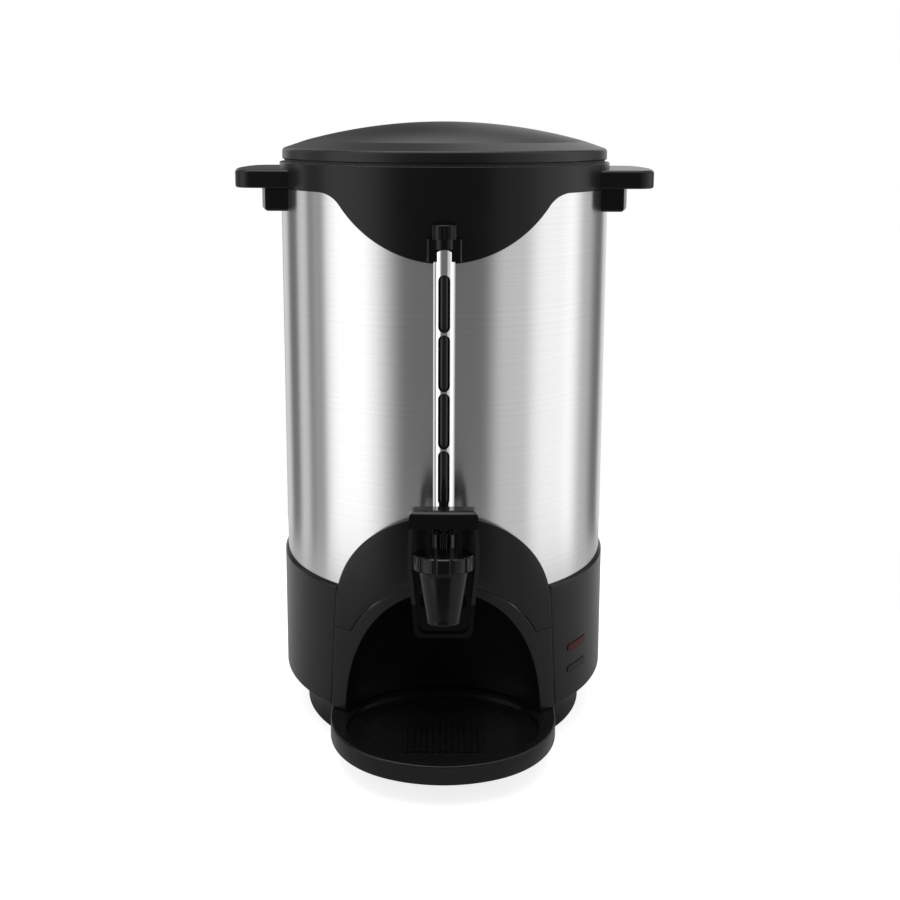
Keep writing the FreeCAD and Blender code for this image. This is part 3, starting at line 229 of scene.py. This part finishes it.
def grid_faces(grid, ring):
    """The faces of one closed grid, turned so that they point outwards.

    Each row is a closed loop. The rows close on themselves when ring is set. Otherwise one face closes each end.
    """
    rows, loop = grid.shape[:2]
    number = np.arange(rows * loop).reshape(rows, loop)
    below = number if ring else number[:-1]
    above = np.roll(number, -1, axis=0) if ring else number[1:]
    quads = np.stack([below, np.roll(below, -1, 1), np.roll(above, -1, 1), above], -1).reshape(-1, 4)
    faces = quads.tolist()
    if not ring:
        faces += [number[0, ::-1].tolist(), number[-1].tolist()]
    corners = grid.reshape(-1, 3)[quads]
    swept = np.cross(corners[:, 2] - corners[:, 0], corners[:, 3] - corners[:, 1])
    if (swept * corners.mean(axis=1)).sum() < 0:
        faces = [face[::-1] for face in faces]
    return faces


def skin(name, *grids, ring=True):
    """One piece through one or more closed grids of points."""
    points, faces = [], []
    for grid in grids:
        faces += [[len(points) + corner for corner in face] for face in grid_faces(grid, ring)]
        points += grid.reshape(-1, 3).tolist()
    mesh = bpy.data.meshes.new(name)
    mesh.from_pydata(points, [], faces)
    mesh.validate()
    mesh.update()
    mesh.polygons.foreach_set("use_smooth", np.ones(len(mesh.polygons), bool))
    piece = bpy.data.objects.new(name, mesh)
    bpy.context.scene.collection.objects.link(piece)
    return piece


def dress(piece, body, slot, *nodes):
    """Gives a piece its material, its body and the nodes that it stands for."""
    piece.data.materials.append(material(slot))
    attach(piece, body)
    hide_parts(*nodes)
    return piece


def round_angles(columns):
    """Even angles once round the vessel."""
    return np.linspace(0.0, 2 * math.pi, columns, endpoint=False)


def arch_half_width(z):
    """Half the width of the arch outline at a height: a circle over two legs that lean out to their feet."""
    z = np.asarray(z, float)
    knee_x = ARCH_R * math.cos(ARCH_FLARE)
    knee_z = ARCH_Z + ARCH_R * math.sin(ARCH_FLARE)
    legs = knee_x + (knee_z - z) * math.tan(ARCH_FLARE)
    crown = np.sqrt(np.clip(ARCH_R**2 - (z - ARCH_Z) ** 2, 0.0, None))
    return np.where(z > knee_z, crown, legs)


def bib_height(x):
    """Lower edge of the collar over a sideways place: a circle's underside that runs into the band by a fillet."""
    x = np.abs(np.asarray(x, float))
    fillet_z = COLLAR_LOW - BIB_FILLET
    fillet_x = math.sqrt((BIB_R + BIB_FILLET) ** 2 - (BIB_Z - fillet_z) ** 2)
    join = fillet_x * BIB_R / (BIB_R + BIB_FILLET)
    bib = BIB_Z - np.sqrt(np.clip(BIB_R**2 - x**2, 0.0, None))
    fillet = fillet_z + np.sqrt(np.clip(BIB_FILLET**2 - (x - fillet_x) ** 2, 0.0, None))
    return np.where(x < join, bib, np.where(x < fillet_x, fillet, COLLAR_LOW))


def shell_foot(angle):
    """Lower edge of the shell: level, but over the niche it follows the egg that the niche is cut with."""
    x = SHELL_R * np.sin(angle)
    y = -SHELL_R * np.cos(angle)
    reach = (x**2 + (y - NICHE_Y) ** 2) / (NICHE_R + NICHE_PLAY) ** 2
    dome = TRAY_TOP + (NICHE_HEIGHT + NICHE_PLAY) * np.sqrt(np.clip(1 - reach, 0.0, None))
    return np.where(reach < 1, np.maximum(dome, SHELL_LOW), SHELL_LOW)


def swept_section(name, angles, section, low, ring=True):
    """A section of radii and heights carried round the vessel, with its lowest part let down to a given height.

    The lower half of the section moves as one to the low height at its angle and the upper half stays, so that only
    the straight parts between them stretch and the softened corners keep their size.
    """
    radius, height = section[:, 0], section[:, 1]
    base, top = height.min(), height.max()
    near_foot = height - base < 0.5 * (top - base)
    z = np.where(near_foot[None], low[:, None] + (height - base)[None], height[None])
    return skin(name, at_angle(radius[None], angles[:, None], z), ring=ring)


def make_shell(form):
    """The steel shell: a thin wall whose lower edge climbs over the niche."""
    inner = SHELL_R - SHELL_SHEET
    corners = [(SHELL_R, SHELL_LOW), (SHELL_R, SHELL_HIGH), (inner, SHELL_HIGH), (inner, SHELL_LOW)]
    angles = round_angles(form.columns)
    return swept_section("steel_shell", angles, softened(corners, form.sheet_edge), shell_foot(angles))


def make_collar(form):
    """The collar: a band whose lower edge drops to the round bib at the front."""
    inner = SHELL_R + SHELL_PLAY
    corners = [
        (COLLAR_R, COLLAR_LOW),
        (COLLAR_R, COLLAR_HIGH),
        (COLLAR_INNER_TOP, COLLAR_HIGH),
        (inner, COLLAR_HIGH - COLLAR_CHAMFER),
        (inner, COLLAR_LOW),
    ]
    angles = round_angles(form.columns)
    low = bib_height(COLLAR_R * np.sin(angles))
    low = np.where(np.cos(angles) > 0, low, COLLAR_LOW)
    return swept_section("collar_band", angles, softened(corners, form.edge), low)


def make_skirt(form):
    """The base skirt: a ring with a slanted upper lip, open at the front for the arch."""
    inner = SKIRT_R - SKIRT_WALL
    corners = [
        (SKIRT_R, SKIRT_LOW),
        (SKIRT_R, SKIRT_HIGH - SKIRT_LIP),
        (SKIRT_SEAT_R, SKIRT_HIGH),
        (SKIRT_SEAT_R, SHELL_LOW),
        (inner - SKIRT_INSET, SHELL_LOW - SKIRT_WALL),
        (inner - SKIRT_INSET, SKIRT_LOW + SKIRT_WALL),
        (SKIRT_FLOOR_R, SKIRT_LOW + SKIRT_WALL),
        (SKIRT_FLOOR_R, SKIRT_LOW),
    ]
    section = softened(corners, form.edge)
    radius, height = section[:, 0], section[:, 1]
    start = np.arcsin((arch_half_width(height) + SEAM_GAP) / SKIRT_R)
    turn = np.linspace(0.0, 1.0, form.columns)[:, None]
    angles = start[None] + turn * (2 * math.pi - 2 * start[None])
    return skin("skirt_ring", at_angle(radius[None], angles, height[None]), ring=False)


def leaving(start, way, inside):
    """How far each ray of the front view goes before it leaves an outline, by halving."""
    low = np.zeros(len(way))
    high = np.full(len(way), 0.2)
    for _ in range(40):
        middle = (low + high) / 2
        held = inside(*(start + middle[:, None] * way).T)
        low = np.where(held, middle, low)
        high = np.where(held, high, middle)
    return low


def front_rays(form, foot):
    """Rays of the front view: level ones from the middle line up to the seam's centre, then a fan from that centre."""
    rise = np.linspace(foot, SEAM_Z, 24)[:-1]
    level = np.stack([np.zeros_like(rise), rise], -1)
    fan = np.linspace(-math.pi / 2, math.pi / 2, form.columns)
    aim = np.stack([np.sin(fan), np.cos(fan)], -1)
    side = np.tile([1.0, 0.0], (len(rise), 1))
    start = np.concatenate([level, np.tile([0.0, SEAM_Z], (len(fan), 1)), level[::-1]])
    return start, np.concatenate([-side, aim, side])


def in_arch(x, z):
    """Inside the outline of the whole arch."""
    return (np.abs(x) < arch_half_width(z)) & (z < ARCH_Z + ARCH_R)


def under_seam(x, z, grow):
    """Below the seam: inside a dome, or under the level of its two feet."""
    return (x**2 + (z - SEAM_Z) ** 2 < (SEAM_R + grow) ** 2) | (z < SEAM_FOOT + grow)


def in_niche(x, z):
    """Inside the niche's mouth, where the egg meets the housing's face."""
    y = -np.sqrt(np.clip(HOUSING_R**2 - x**2, 0.0, None))
    reach = (x**2 + (y - NICHE_Y) ** 2) / NICHE_R**2
    return (reach < 1) & (z < TRAY_TOP + NICHE_HEIGHT * np.sqrt(np.clip(1 - reach, 0.0, None)))


def in_tap_slot(x, z):
    """The keyhole that the tap's shank and the gauge's socket stand in."""
    return (np.abs(x) < SOCKET_HALF) & (z > SOCKET_Z - np.sqrt(np.clip(SOCKET_HALF**2 - x**2, 0.0, None)))


def plate_between(form, start, way, near, far):
    """A curved plate between two outlines, given as distances along the same rays.

    Its section crosses the face from the near outline to the far one and returns behind it. The two front edges are
    square Beziers, and every point is laid on the housing's cylinder at its own depth.
    """
    wide = (far - near)[:, None]
    soft = np.minimum(form.edge, 0.3 * wide)
    t = np.linspace(0.0, 1.0, 5)[None]
    span = np.linspace(0.0, 1.0, 8)[None, 1:-1]
    flat = np.zeros_like(span) * wide
    behind = np.array([[1.0, 0.8, 0.6, 0.4, 0.2, 0.0]])
    across = [soft * t**2, soft + span * (wide - 2 * soft), wide - soft * (1 - t) ** 2, behind * wide]
    depth = [soft * (1 - t) ** 2, flat, soft * t**2, np.full(behind.shape, HOUSING_WALL) + 0 * wide]
    reach = near[:, None] + np.concatenate(across, axis=1)
    radius = HOUSING_R - np.concatenate(depth, axis=1)
    place = start[:, None] + reach[..., None] * way[:, None]
    x = place[..., 0] * radius / HOUSING_R
    return np.stack([x, -np.sqrt(radius**2 - x**2), place[..., 1]], axis=-1)


def niche_bowl(form):
    """The niche's wall: the inside of an egg turned about an upright axis, from the foot to the crown.

    At each height the wall is an arc about that axis, which ends where it meets the housing's face from behind.
    """
    mouth = HOUSING_R - form.edge
    least = (-NICHE_Y - mouth) / NICHE_R
    climb = np.linspace(0.0, math.acos(least), 90)[:, None]
    radius = NICHE_R * np.cos(climb)
    reach = (radius**2 + NICHE_Y**2 - mouth**2) / (-2 * NICHE_Y * radius)
    limit = np.arccos(np.clip(reach, -1.0, 1.0))
    share_round = np.linspace(-1.0, 1.0, 81)[None]
    inside = limit * share_round
    outside = limit * share_round[:, ::-1]
    turn = np.concatenate([inside, outside], axis=1)
    wall = np.concatenate([np.zeros_like(inside), np.full_like(outside, NICHE_WALL)], axis=1)
    r = (NICHE_R + wall) * np.cos(climb)
    z = TRAY_TOP + (NICHE_HEIGHT + wall) * np.sin(climb)
    return np.stack([r * np.sin(turn), NICHE_Y + r * np.cos(turn), z], axis=-1)


def make_housing(form):
    """The niche's frame, from its feet up to the seam, with the egg-shaped hollow behind its mouth."""
    start, way = front_rays(form, TRAY_TOP)
    near = leaving(start, way, in_niche)
    far = leaving(start, way, lambda x, z: in_arch(x, z) & under_seam(x, z, -SEAM_GAP / 2))
    return skin("niche_frame", plate_between(form, start, way, near, far), niche_bowl(form), ring=False)


def make_cover(form):
    """The crescent over the seam, with the keyhole that the tap and the gauge stand in."""
    tip = math.atan2(float(arch_half_width(SEAM_FOOT)), SEAM_FOOT - SEAM_Z) - COVER_TIP
    fan = np.linspace(-tip, tip, 2 * form.columns)
    way = np.stack([np.sin(fan), np.cos(fan)], -1)
    start = np.tile([0.0, SEAM_Z], (len(fan), 1))
    near = leaving(start, way, lambda x, z: under_seam(x, z, SEAM_GAP / 2))
    far = leaving(start, way, lambda x, z: in_arch(x, z) & ~in_tap_slot(x, z))
    return skin("crescent_cover", plate_between(form, start, way, near, np.maximum(far, near)), ring=False)


def make_lid(form):
    """The lid: a rim, a sloping band, two finger wells and a whale-back ridge across.

    Over the middle the height is the soft greater of the well's level and the ridge, where the ridge is the outside
    of a large ring about a sideways axis: hub + sqrt((R + sqrt(c^2 - y^2))^2 - x^2). Outside that it is the rim's
    outline, turned about the vessel's axis.
    """
    angles = round_angles(form.columns)
    rim = softened(
        [
            (LID_BAND_R, LID_BAND_TOP),
            (LID_R - LID_SHOULDER_IN, LID_WALL_TOP + LID_SHOULDER_UP),
            (LID_R, LID_WALL_TOP),
            (LID_R, LID_LOW),
            (LID_UNDER_R, LID_LOW),
        ],
        form.edge * 2,
    )
    steps = len(rim) // 5
    rim = rim[steps - 2 : 4 * steps]
    inner = np.linspace(LID_POLE_R, LID_BAND_R - LID_WELL_GAP, 60)
    radius = np.concatenate([inner, rim[:, 0], [LID_POLE_R]])
    x = inner[None] * np.sin(angles)[:, None]
    y = -inner[None] * np.cos(angles)[:, None]
    ring_r = RIDGE_LONG_R - RIDGE_CROSS_R + np.sqrt(np.clip(RIDGE_CROSS_R**2 - y**2, 0.0, None))
    ridge = LID_CREST - RIDGE_LONG_R + np.sqrt(ring_r**2 - x**2)
    ridge = np.where(np.abs(y) < RIDGE_CROSS_R, ridge, 0.0)
    gap = np.clip(np.abs(ridge - LID_WELL) / RIDGE_MELT, 0.0, 1.0)
    top = np.maximum(ridge, LID_WELL) + RIDGE_MELT * 0.25 * (1 - gap) ** 2
    outer = np.broadcast_to(rim[:, 1], (len(angles), len(rim)))
    height = np.concatenate([top, outer, np.full((len(angles), 1), LID_LOW)], axis=1)
    return skin("lid_cap", at_angle(radius[None], angles[:, None], height))


# Shading


class Value:
    """A shader output that takes part in sums and products."""

    def __init__(self, graph, socket):
        self.graph = graph
        self.socket = socket

    def __add__(self, other):
        return self.graph.maths("ADD", self, other)

    def __sub__(self, other):
        return self.graph.maths("SUBTRACT", self, other)

    def __rsub__(self, other):
        return self.graph.maths("SUBTRACT", other, self)

    def __mul__(self, other):
        return self.graph.maths("MULTIPLY", self, other)

    __radd__ = __add__
    __rmul__ = __mul__


class Graph:
    """The nodes of one material or world."""

    def __init__(self, tree):
        self.tree = tree
        tree.nodes.clear()

    def node(self, kind, inputs=None, output=0, **settings):
        """Adds one node: inputs by name or number, numbers or other outputs; settings are the node's own."""
        node = self.tree.nodes.new("ShaderNode" + kind)
        for key, value in settings.items():
            setattr(node, key, value)
        for key, value in (inputs or {}).items():
            if isinstance(value, Value):
                self.tree.links.new(value.socket, node.inputs[key])
            else:
                node.inputs[key].default_value = value
        return Value(self, node.outputs[output]) if node.outputs else None

    def maths(self, operation, first, second=0.0):
        return self.node("Math", {0: first, 1: second}, operation=operation)

    def clamped(self, value, low, high, to_low=0.0, to_high=1.0):
        """The value brought from one range to another, smoothly, and held at its ends."""
        inputs = {"Value": value, "From Min": low, "From Max": high, "To Min": to_low, "To Max": to_high}
        return self.node("MapRange", inputs, interpolation_type="SMOOTHSTEP")

    def mixed(self, factor, first, second):
        return self.node("Mix", {0: factor, 6: (*first, 1.0), 7: (*second, 1.0)}, output=2, data_type="RGBA")

    def place(self, stretch=(1.0, 1.0, 1.0)):
        spot = self.node("TexCoord", output=3)
        return self.node("VectorMath", {0: spot, 1: stretch}, operation="MULTIPLY")

    def noise(self, scale, detail=2.0, stretch=(1.0, 1.0, 1.0)):
        inputs = {"Vector": self.place(stretch), "Scale": scale, "Detail": detail, "Roughness": 0.55}
        return self.node("TexNoise", inputs)

    def bumps(self, height, strength, distance):
        return self.node("Bump", {"Strength": strength, "Distance": distance, "Height": height})


def finish_material(name, shader_inputs, build):
    """A material with fixed inputs on its shader and, from build, the inputs that vary."""
    made = bpy.data.materials.new(name)
    made.use_nodes = True
    graph = Graph(made.node_tree)
    shader = graph.node("BsdfPrincipled", {**shader_inputs, **build(graph)})
    graph.node("OutputMaterial", {"Surface": shader})
    return made


def moulded(name, tone, rough, grain, gloss=0.25, coat=0.0):
    """Moulded plastic: a fine even grain, slow changes of gloss and a breath of dust on what faces up."""

    def build(graph):
        cloud = graph.noise(14.0, 3.0)
        fine = graph.noise(1900.0, 2.0)
        up = graph.node("SeparateXYZ", {0: graph.node("NewGeometry", output=1)}, output=2)
        dust = graph.clamped(up, 0.75, 1.0) * graph.clamped(graph.noise(420.0, 4.0), 0.52, 0.72) * 0.02
        shade = graph.clamped(cloud, 0.3, 0.7)
        base = graph.mixed(shade, [0.9 * c for c in tone], [1.12 * c for c in tone])
        dusty = graph.node("Mix", {0: dust, 6: base, 7: (*DUST, 1.0)}, output=2, data_type="RGBA")
        return {
            "Base Color": dusty,
            "Roughness": rough + (cloud - 0.5) * 0.10 + dust * 0.8,
            "Normal": graph.bumps(fine, grain, 0.0001),
        }

    return finish_material(name, {"Coat Weight": coat, "Coat Roughness": 0.12, "Specular IOR Level": gloss}, build)


def brushed(name, tone, rough, turn):
    """Steel brushed round the vessel: hairlines that change along Z only, and stretched highlights."""

    def build(graph):
        lines = graph.noise(1.0, 3.0, (0.4, 0.4, 2600.0))
        broad = graph.noise(1.0, 2.0, (0.4, 0.4, 500.0))
        cloud = graph.noise(9.0, 3.0)
        shade = graph.clamped(lines * 0.6 + broad * 0.4, 0.3, 0.7)
        return {
            "Base Color": graph.mixed(shade, [0.91 * c for c in tone], tone),
            "Roughness": rough + (lines - 0.5) * 0.06 + (cloud - 0.5) * 0.03,
            "Normal": graph.bumps(lines, 0.02, 0.00002),
        }

    return finish_material(name, {"Metallic": 1.0, "Anisotropic": 0.75, "Anisotropic Rotation": turn}, build)


def polished(name, tone, rough, marks=0.04):
    """Plain metal: slow changes of gloss and faint drawn marks."""

    def build(graph):
        cloud = graph.noise(60.0, 3.0)
        fine = graph.noise(900.0, 3.0, (1.0, 1.0, 0.3))
        return {
            "Base Color": graph.mixed(graph.clamped(cloud, 0.3, 0.7), [0.97 * c for c in tone], tone),
            "Roughness": rough + (cloud - 0.5) * 0.03,
            "Normal": graph.bumps(fine, marks, 0.00002),
        }

    return finish_material(name, {"Metallic": 1.0}, build)


def matt(name, tone, rough, grain=0.15):
    """Rubber, ceramic, silicone and sleeves: a soft surface with a little unevenness."""

    def build(graph):
        cloud = graph.noise(120.0, 3.0)
        fine = graph.noise(1500.0, 3.0)
        return {
            "Base Color": graph.mixed(graph.clamped(cloud, 0.3, 0.7), [0.85 * c for c in tone], tone),
            "Roughness": rough + (cloud - 0.5) * 0.12,
            "Normal": graph.bumps(fine, grain, 0.0001),
        }

    return finish_material(name, {"IOR": 1.45}, build)


def lens(name, tone):
    """A lamp's lens: clear coloured plastic with moulded prisms behind it."""

    def build(graph):
        prisms = graph.noise(700.0, 2.0)
        return {
            "Base Color": graph.mixed(graph.clamped(prisms, 0.35, 0.65), [0.55 * c for c in tone], tone),
            "Normal": graph.bumps(prisms, 0.12, 0.0002),
        }

    return finish_material(name, {"Roughness": 0.12, "Specular IOR Level": 0.15}, build)


def smoked_glass(name):
    """The gauge's tube: smoked glass over the dark drink inside, with faint drawn lines."""

    def build(graph):
        lines = graph.noise(1.0, 2.0, (900.0, 900.0, 8.0))
        return {
            "Base Color": graph.mixed(graph.clamped(lines, 0.3, 0.7), DRINK_DARK, DRINK_LIGHT),
            "Normal": graph.bumps(lines, 0.02, 0.00002),
            "Roughness": 0.04 + lines * 0.03,
        }

    return finish_material(name, {"Transmission Weight": 0.12, "IOR": 1.47}, build)


def material(slot):
    """The finish of a material slot, made once."""
    made = bpy.data.materials.get("urn_" + slot)
    return made or MAKERS[slot](bpy.context.scene.urn_colours, "urn_" + slot)


MAKERS = {
    "black_plastic": lambda c, n: moulded(n, tuple(c.plastic), 0.24, 0.05, 0.26),
    "lid_plastic": lambda c, n: moulded(n, tuple(c.lid_plastic), 0.30, 0.08, 0.32),
    "tap_plastic": lambda c, n: moulded(n, tuple(c.tap_plastic), 0.15, 0.03, 0.26),
    "shell_steel": lambda c, n: brushed(n, tuple(c.steel), 0.22, 0.25),
    "tank_steel": lambda c, n: polished(n, tuple(c.tank), 0.28),
    "guard_chrome": lambda c, n: polished(n, CHROME, 0.10, 0.02),
    "gauge_glass": lambda c, n: smoked_glass(n),
    "silicone": lambda c, n: matt(n, SILICONE, 0.55),
    "foot_rubber": lambda c, n: matt(n, RUBBER, 0.8, 0.4),
    "screw_steel": lambda c, n: polished(n, (0.58, 0.58, 0.57), 0.32),
    "spring_steel": lambda c, n: polished(n, (0.66, 0.66, 0.66), 0.22),
    "plate_aluminium": lambda c, n: polished(n, (0.72, 0.72, 0.73), 0.5, 0.25),
    "element_sheath": lambda c, n: polished(n, (0.34, 0.31, 0.29), 0.55, 0.2),
    "ceramic_white": lambda c, n: matt(n, (0.80, 0.78, 0.74), 0.6),
    "block_plastic": lambda c, n: matt(n, (0.72, 0.69, 0.61), 0.5),
    "wire_jacket": lambda c, n: matt(n, (0.42, 0.07, 0.05), 0.55),
    "red_lens": lambda c, n: lens(n, tuple(c.red_lamp)),
    "green_lens": lambda c, n: lens(n, tuple(c.green_lamp)),
}


def soften(size, *names):
    """Rounds the sharp edges of frame nodes by modifiers: a weld, then a bevel on edges over 30 degrees."""
    for name in names:
        node = frame["nodes"][name]
        weld = node.modifiers.new("weld", "WELD")
        weld.merge_threshold = 0.000001
        bevel = node.modifiers.new("edge", "BEVEL")
        bevel.width = size
        bevel.segments = 3
        bevel.limit_method = "ANGLE"
        bevel.angle_limit = math.radians(30)
        bevel.harden_normals = True
        bevel.use_clamp_overlap = True


def paint(*names):
    """Gives frame nodes that stay in sight the finish of their own slot."""
    slots = {part["node"]: part["material_slot"] for part in frame["record"]["subparts"]}
    for name in names:
        for holder in frame["nodes"][name].material_slots:
            holder.material = material(slots[name])


# Operators


class URN_OT_vessel(bpy.types.Operator):
    """Builds the steel shell and the collar, and finishes the handles, their screws and the tank"""

    bl_idname = "urn.vessel"
    bl_label = "Vessel"

    def execute(self, context):
        form = context.scene.urn_form
        dress(make_shell(form), "urn", "shell_steel", "outer_shell")
        dress(make_collar(form), "urn", "black_plastic", "collar")
        paint("handle_right", "handle_left", "handle_screws", "inner_tank")
        return {"FINISHED"}


class URN_OT_lid(bpy.types.Operator):
    """Builds the lid and finishes its seal"""

    bl_idname = "urn.lid"
    bl_label = "Lid"

    def execute(self, context):
        dress(make_lid(context.scene.urn_form), "lid", "lid_plastic", "lid")
        paint("lid_seal")
        return {"FINISHED"}


class URN_OT_base(bpy.types.Operator):
    """Builds the skirt, the niche's housing and the crescent cover, and finishes the tray, what stands under them and
    the lamps
    """

    bl_idname = "urn.base"
    bl_label = "Base"

    def execute(self, context):
        form = context.scene.urn_form
        dress(make_skirt(form), "urn", "black_plastic", "base_skirt")
        dress(make_housing(form), "urn", "black_plastic", "niche_housing")
        dress(make_cover(form), "urn", "black_plastic", "tap_cover")
        paint("drip_tray", "drip_dish", "base_pan", "foot_pads", "base_screws")
        soften(form.edge, "drip_tray", "base_pan")
        paint("tie_stud", "tie_nut", "heating_lamp_lens", "serving_lamp_lens", "lamp_holder", "cord_gland")
        return {"FINISHED"}


class URN_OT_gauge(bpy.types.Operator):
    """Finishes the level gauge"""

    bl_idname = "urn.gauge"
    bl_label = "Level gauge"

    def execute(self, context):
        paint("gauge_guard", "gauge_glass", "gauge_bracket", "gauge_cap")
        return {"FINISHED"}


class URN_OT_tap(bpy.types.Operator):
    """Finishes the tap"""

    bl_idname = "urn.tap"
    bl_label = "Tap"

    def execute(self, context):
        paint("tap_body", "tap_nut", "tap_inner_gasket", "tap_outer_gasket", "tap_bonnet", "valve_spring")
        paint("tap_lever", "lever_pin", "tap_stem", "valve_cup")
        soften(context.scene.urn_form.edge, "tap_body", "tap_bonnet")
        soften(LEVER_EDGE, "tap_lever")
        return {"FINISHED"}


class URN_OT_inside(bpy.types.Operator):
    """Finishes the brewing set, the heater and the wiring"""

    bl_idname = "urn.inside"
    bl_label = "Inside"

    def execute(self, context):
        paint("riser_tube", "riser_foot", "coffee_basket", "basket_cover", "heater_plate", "main_element")
        paint("keep_warm_element", "thermostat", "thermal_fuse", "terminal_block", "wiring")
        return {"FINISHED"}


def room(world, stage):
    """Light by direction: a dim surround, the panels and a pale ceiling. The camera sees plain white."""
    world.use_nodes = True
    graph = Graph(world.node_tree)
    way = graph.node("TexCoord", output=0)
    x, y, z = (graph.node("SeparateXYZ", {0: way}, output=axis) for axis in range(3))
    turn = graph.maths("ARCTAN2", x, 0.0 - y) * (180.0 / math.pi)
    light = stage.surround
    for middle, half, soft, strength in PANELS.values():
        off = graph.maths("ABSOLUTE", graph.node("Math", {0: turn - middle, 1: 180.0, 2: -180.0}, operation="WRAP"))
        light = graph.clamped(off, half, half + soft, strength, 0.0) + light
    climb = graph.maths("ARCSINE", z) * (180.0 / math.pi)
    ceiling = graph.clamped(climb, CEILING[0], CEILING[1])
    level = light * (1.0 - ceiling) + ceiling * CEILING[2]
    seen = graph.node("LightPath", output=0) + graph.node("LightPath", output=6)
    strength = level * (1.0 - seen) + seen
    back = graph.node("Background", {"Color": (1.0, 1.0, 1.0, 1.0), "Strength": strength})
    graph.node("OutputWorld", {"Surface": back})


def pale_floor(stage):
    """A matt floor. The camera sees it lifted to white where it is lit, and it keeps the object's shadow."""
    made = bpy.data.materials.new("floor")
    made.use_nodes = True
    graph = Graph(made.node_tree)
    matt_floor = graph.node("BsdfDiffuse", {"Color": (*stage.floor, 1.0)})
    seen = graph.node("LightPath", output=0)
    lift = graph.node("Emission", {"Color": (1.0, 1.0, 1.0, 1.0), "Strength": seen * stage.floor_lift})
    graph.node("OutputMaterial", {"Surface": graph.node("AddShader", {0: matt_floor, 1: lift})})
    return made


class URN_OT_stage(bpy.types.Operator):
    """Sets the floor, the light and the camera"""

    bl_idname = "urn.stage"
    bl_label = "Stage"

    def execute(self, context):
        scene = context.scene
        stage = scene.urn_stage
        scene.view_settings.view_transform = "Standard"
        scene.world = scene.world or bpy.data.worlds.new("room")
        room(scene.world, stage)

        mesh = bpy.data.meshes.new("floor")
        turn = round_angles(FLOOR_SIDES)
        mesh.from_pydata(at_angle(FLOOR_R, turn, 0.0).tolist(), [], [range(FLOOR_SIDES - 1, -1, -1)])
        floor = bpy.data.objects.new("floor", mesh)
        scene.collection.objects.link(floor)
        floor.data.materials.append(pale_floor(stage))

        lamp = bpy.data.lights.new("top light", "AREA")
        lamp.energy = stage.top_light
        lamp.size = LAMP_SIZE
        top = bpy.data.objects.new("top light", lamp)
        top.location = LAMP_PLACE
        top.rotation_euler = LAMP_TURN
        scene.collection.objects.link(top)

        shot = bpy.data.cameras.new("camera")
        shot.lens = stage.lens
        shot.sensor_width = SENSOR
        shot.shift_x = PHOTO_CENTRE_X
        shot.shift_y = PHOTO_CENTRE_Y
        camera = bpy.data.objects.new("camera", shot)
        tilt = Matrix.Rotation(math.pi / 2 - stage.pitch, 4, "X") @ Matrix.Rotation(stage.roll, 4, "Z")
        camera.matrix_world = Matrix.Translation((CAMERA_X, -stage.distance, stage.height)) @ tilt
        scene.collection.objects.link(camera)
        scene.camera = camera
        return {"FINISHED"}


class URN_PT_build(bpy.types.Panel):
    """The urn's pieces and settings"""

    bl_idname = "URN_PT_build"
    bl_label = "Coffee Urn"
    bl_space_type = "VIEW_3D"
    bl_region_type = "UI"
    bl_category = "Coffee Urn"

    def draw(self, context):
        for operator in OPERATORS:
            self.layout.operator(operator.bl_idname)
        for group in (context.scene.urn_form, context.scene.urn_colours, context.scene.urn_stage):
            box = self.layout.box()
            for name in group.__annotations__:
                box.prop(group, name)


OPERATORS = (
    URN_OT_vessel,
    URN_OT_lid,
    URN_OT_base,
    URN_OT_gauge,
    URN_OT_tap,
    URN_OT_inside,
    URN_OT_stage,
)
GROUPS = {"urn_form": UrnForm, "urn_colours": UrnColours, "urn_stage": UrnStage}


def register():
    for cls in (*GROUPS.values(), *OPERATORS, URN_PT_build):
        bpy.utils.register_class(cls)
    for name, group in GROUPS.items():
        setattr(bpy.types.Scene, name, bpy.props.PointerProperty(type=group))


def unregister():
    for name in GROUPS:
        delattr(bpy.types.Scene, name)
    for cls in (URN_PT_build, *reversed(OPERATORS), *reversed(list(GROUPS.values()))):
        bpy.utils.unregister_class(cls)


def main():
    register()
    bpy.ops.urn.vessel()
    bpy.ops.urn.lid()
    bpy.ops.urn.base()
    bpy.ops.urn.gauge()
    bpy.ops.urn.tap()
    bpy.ops.urn.inside()
    bpy.ops.urn.stage()


if __name__ == "__main__":
    main()
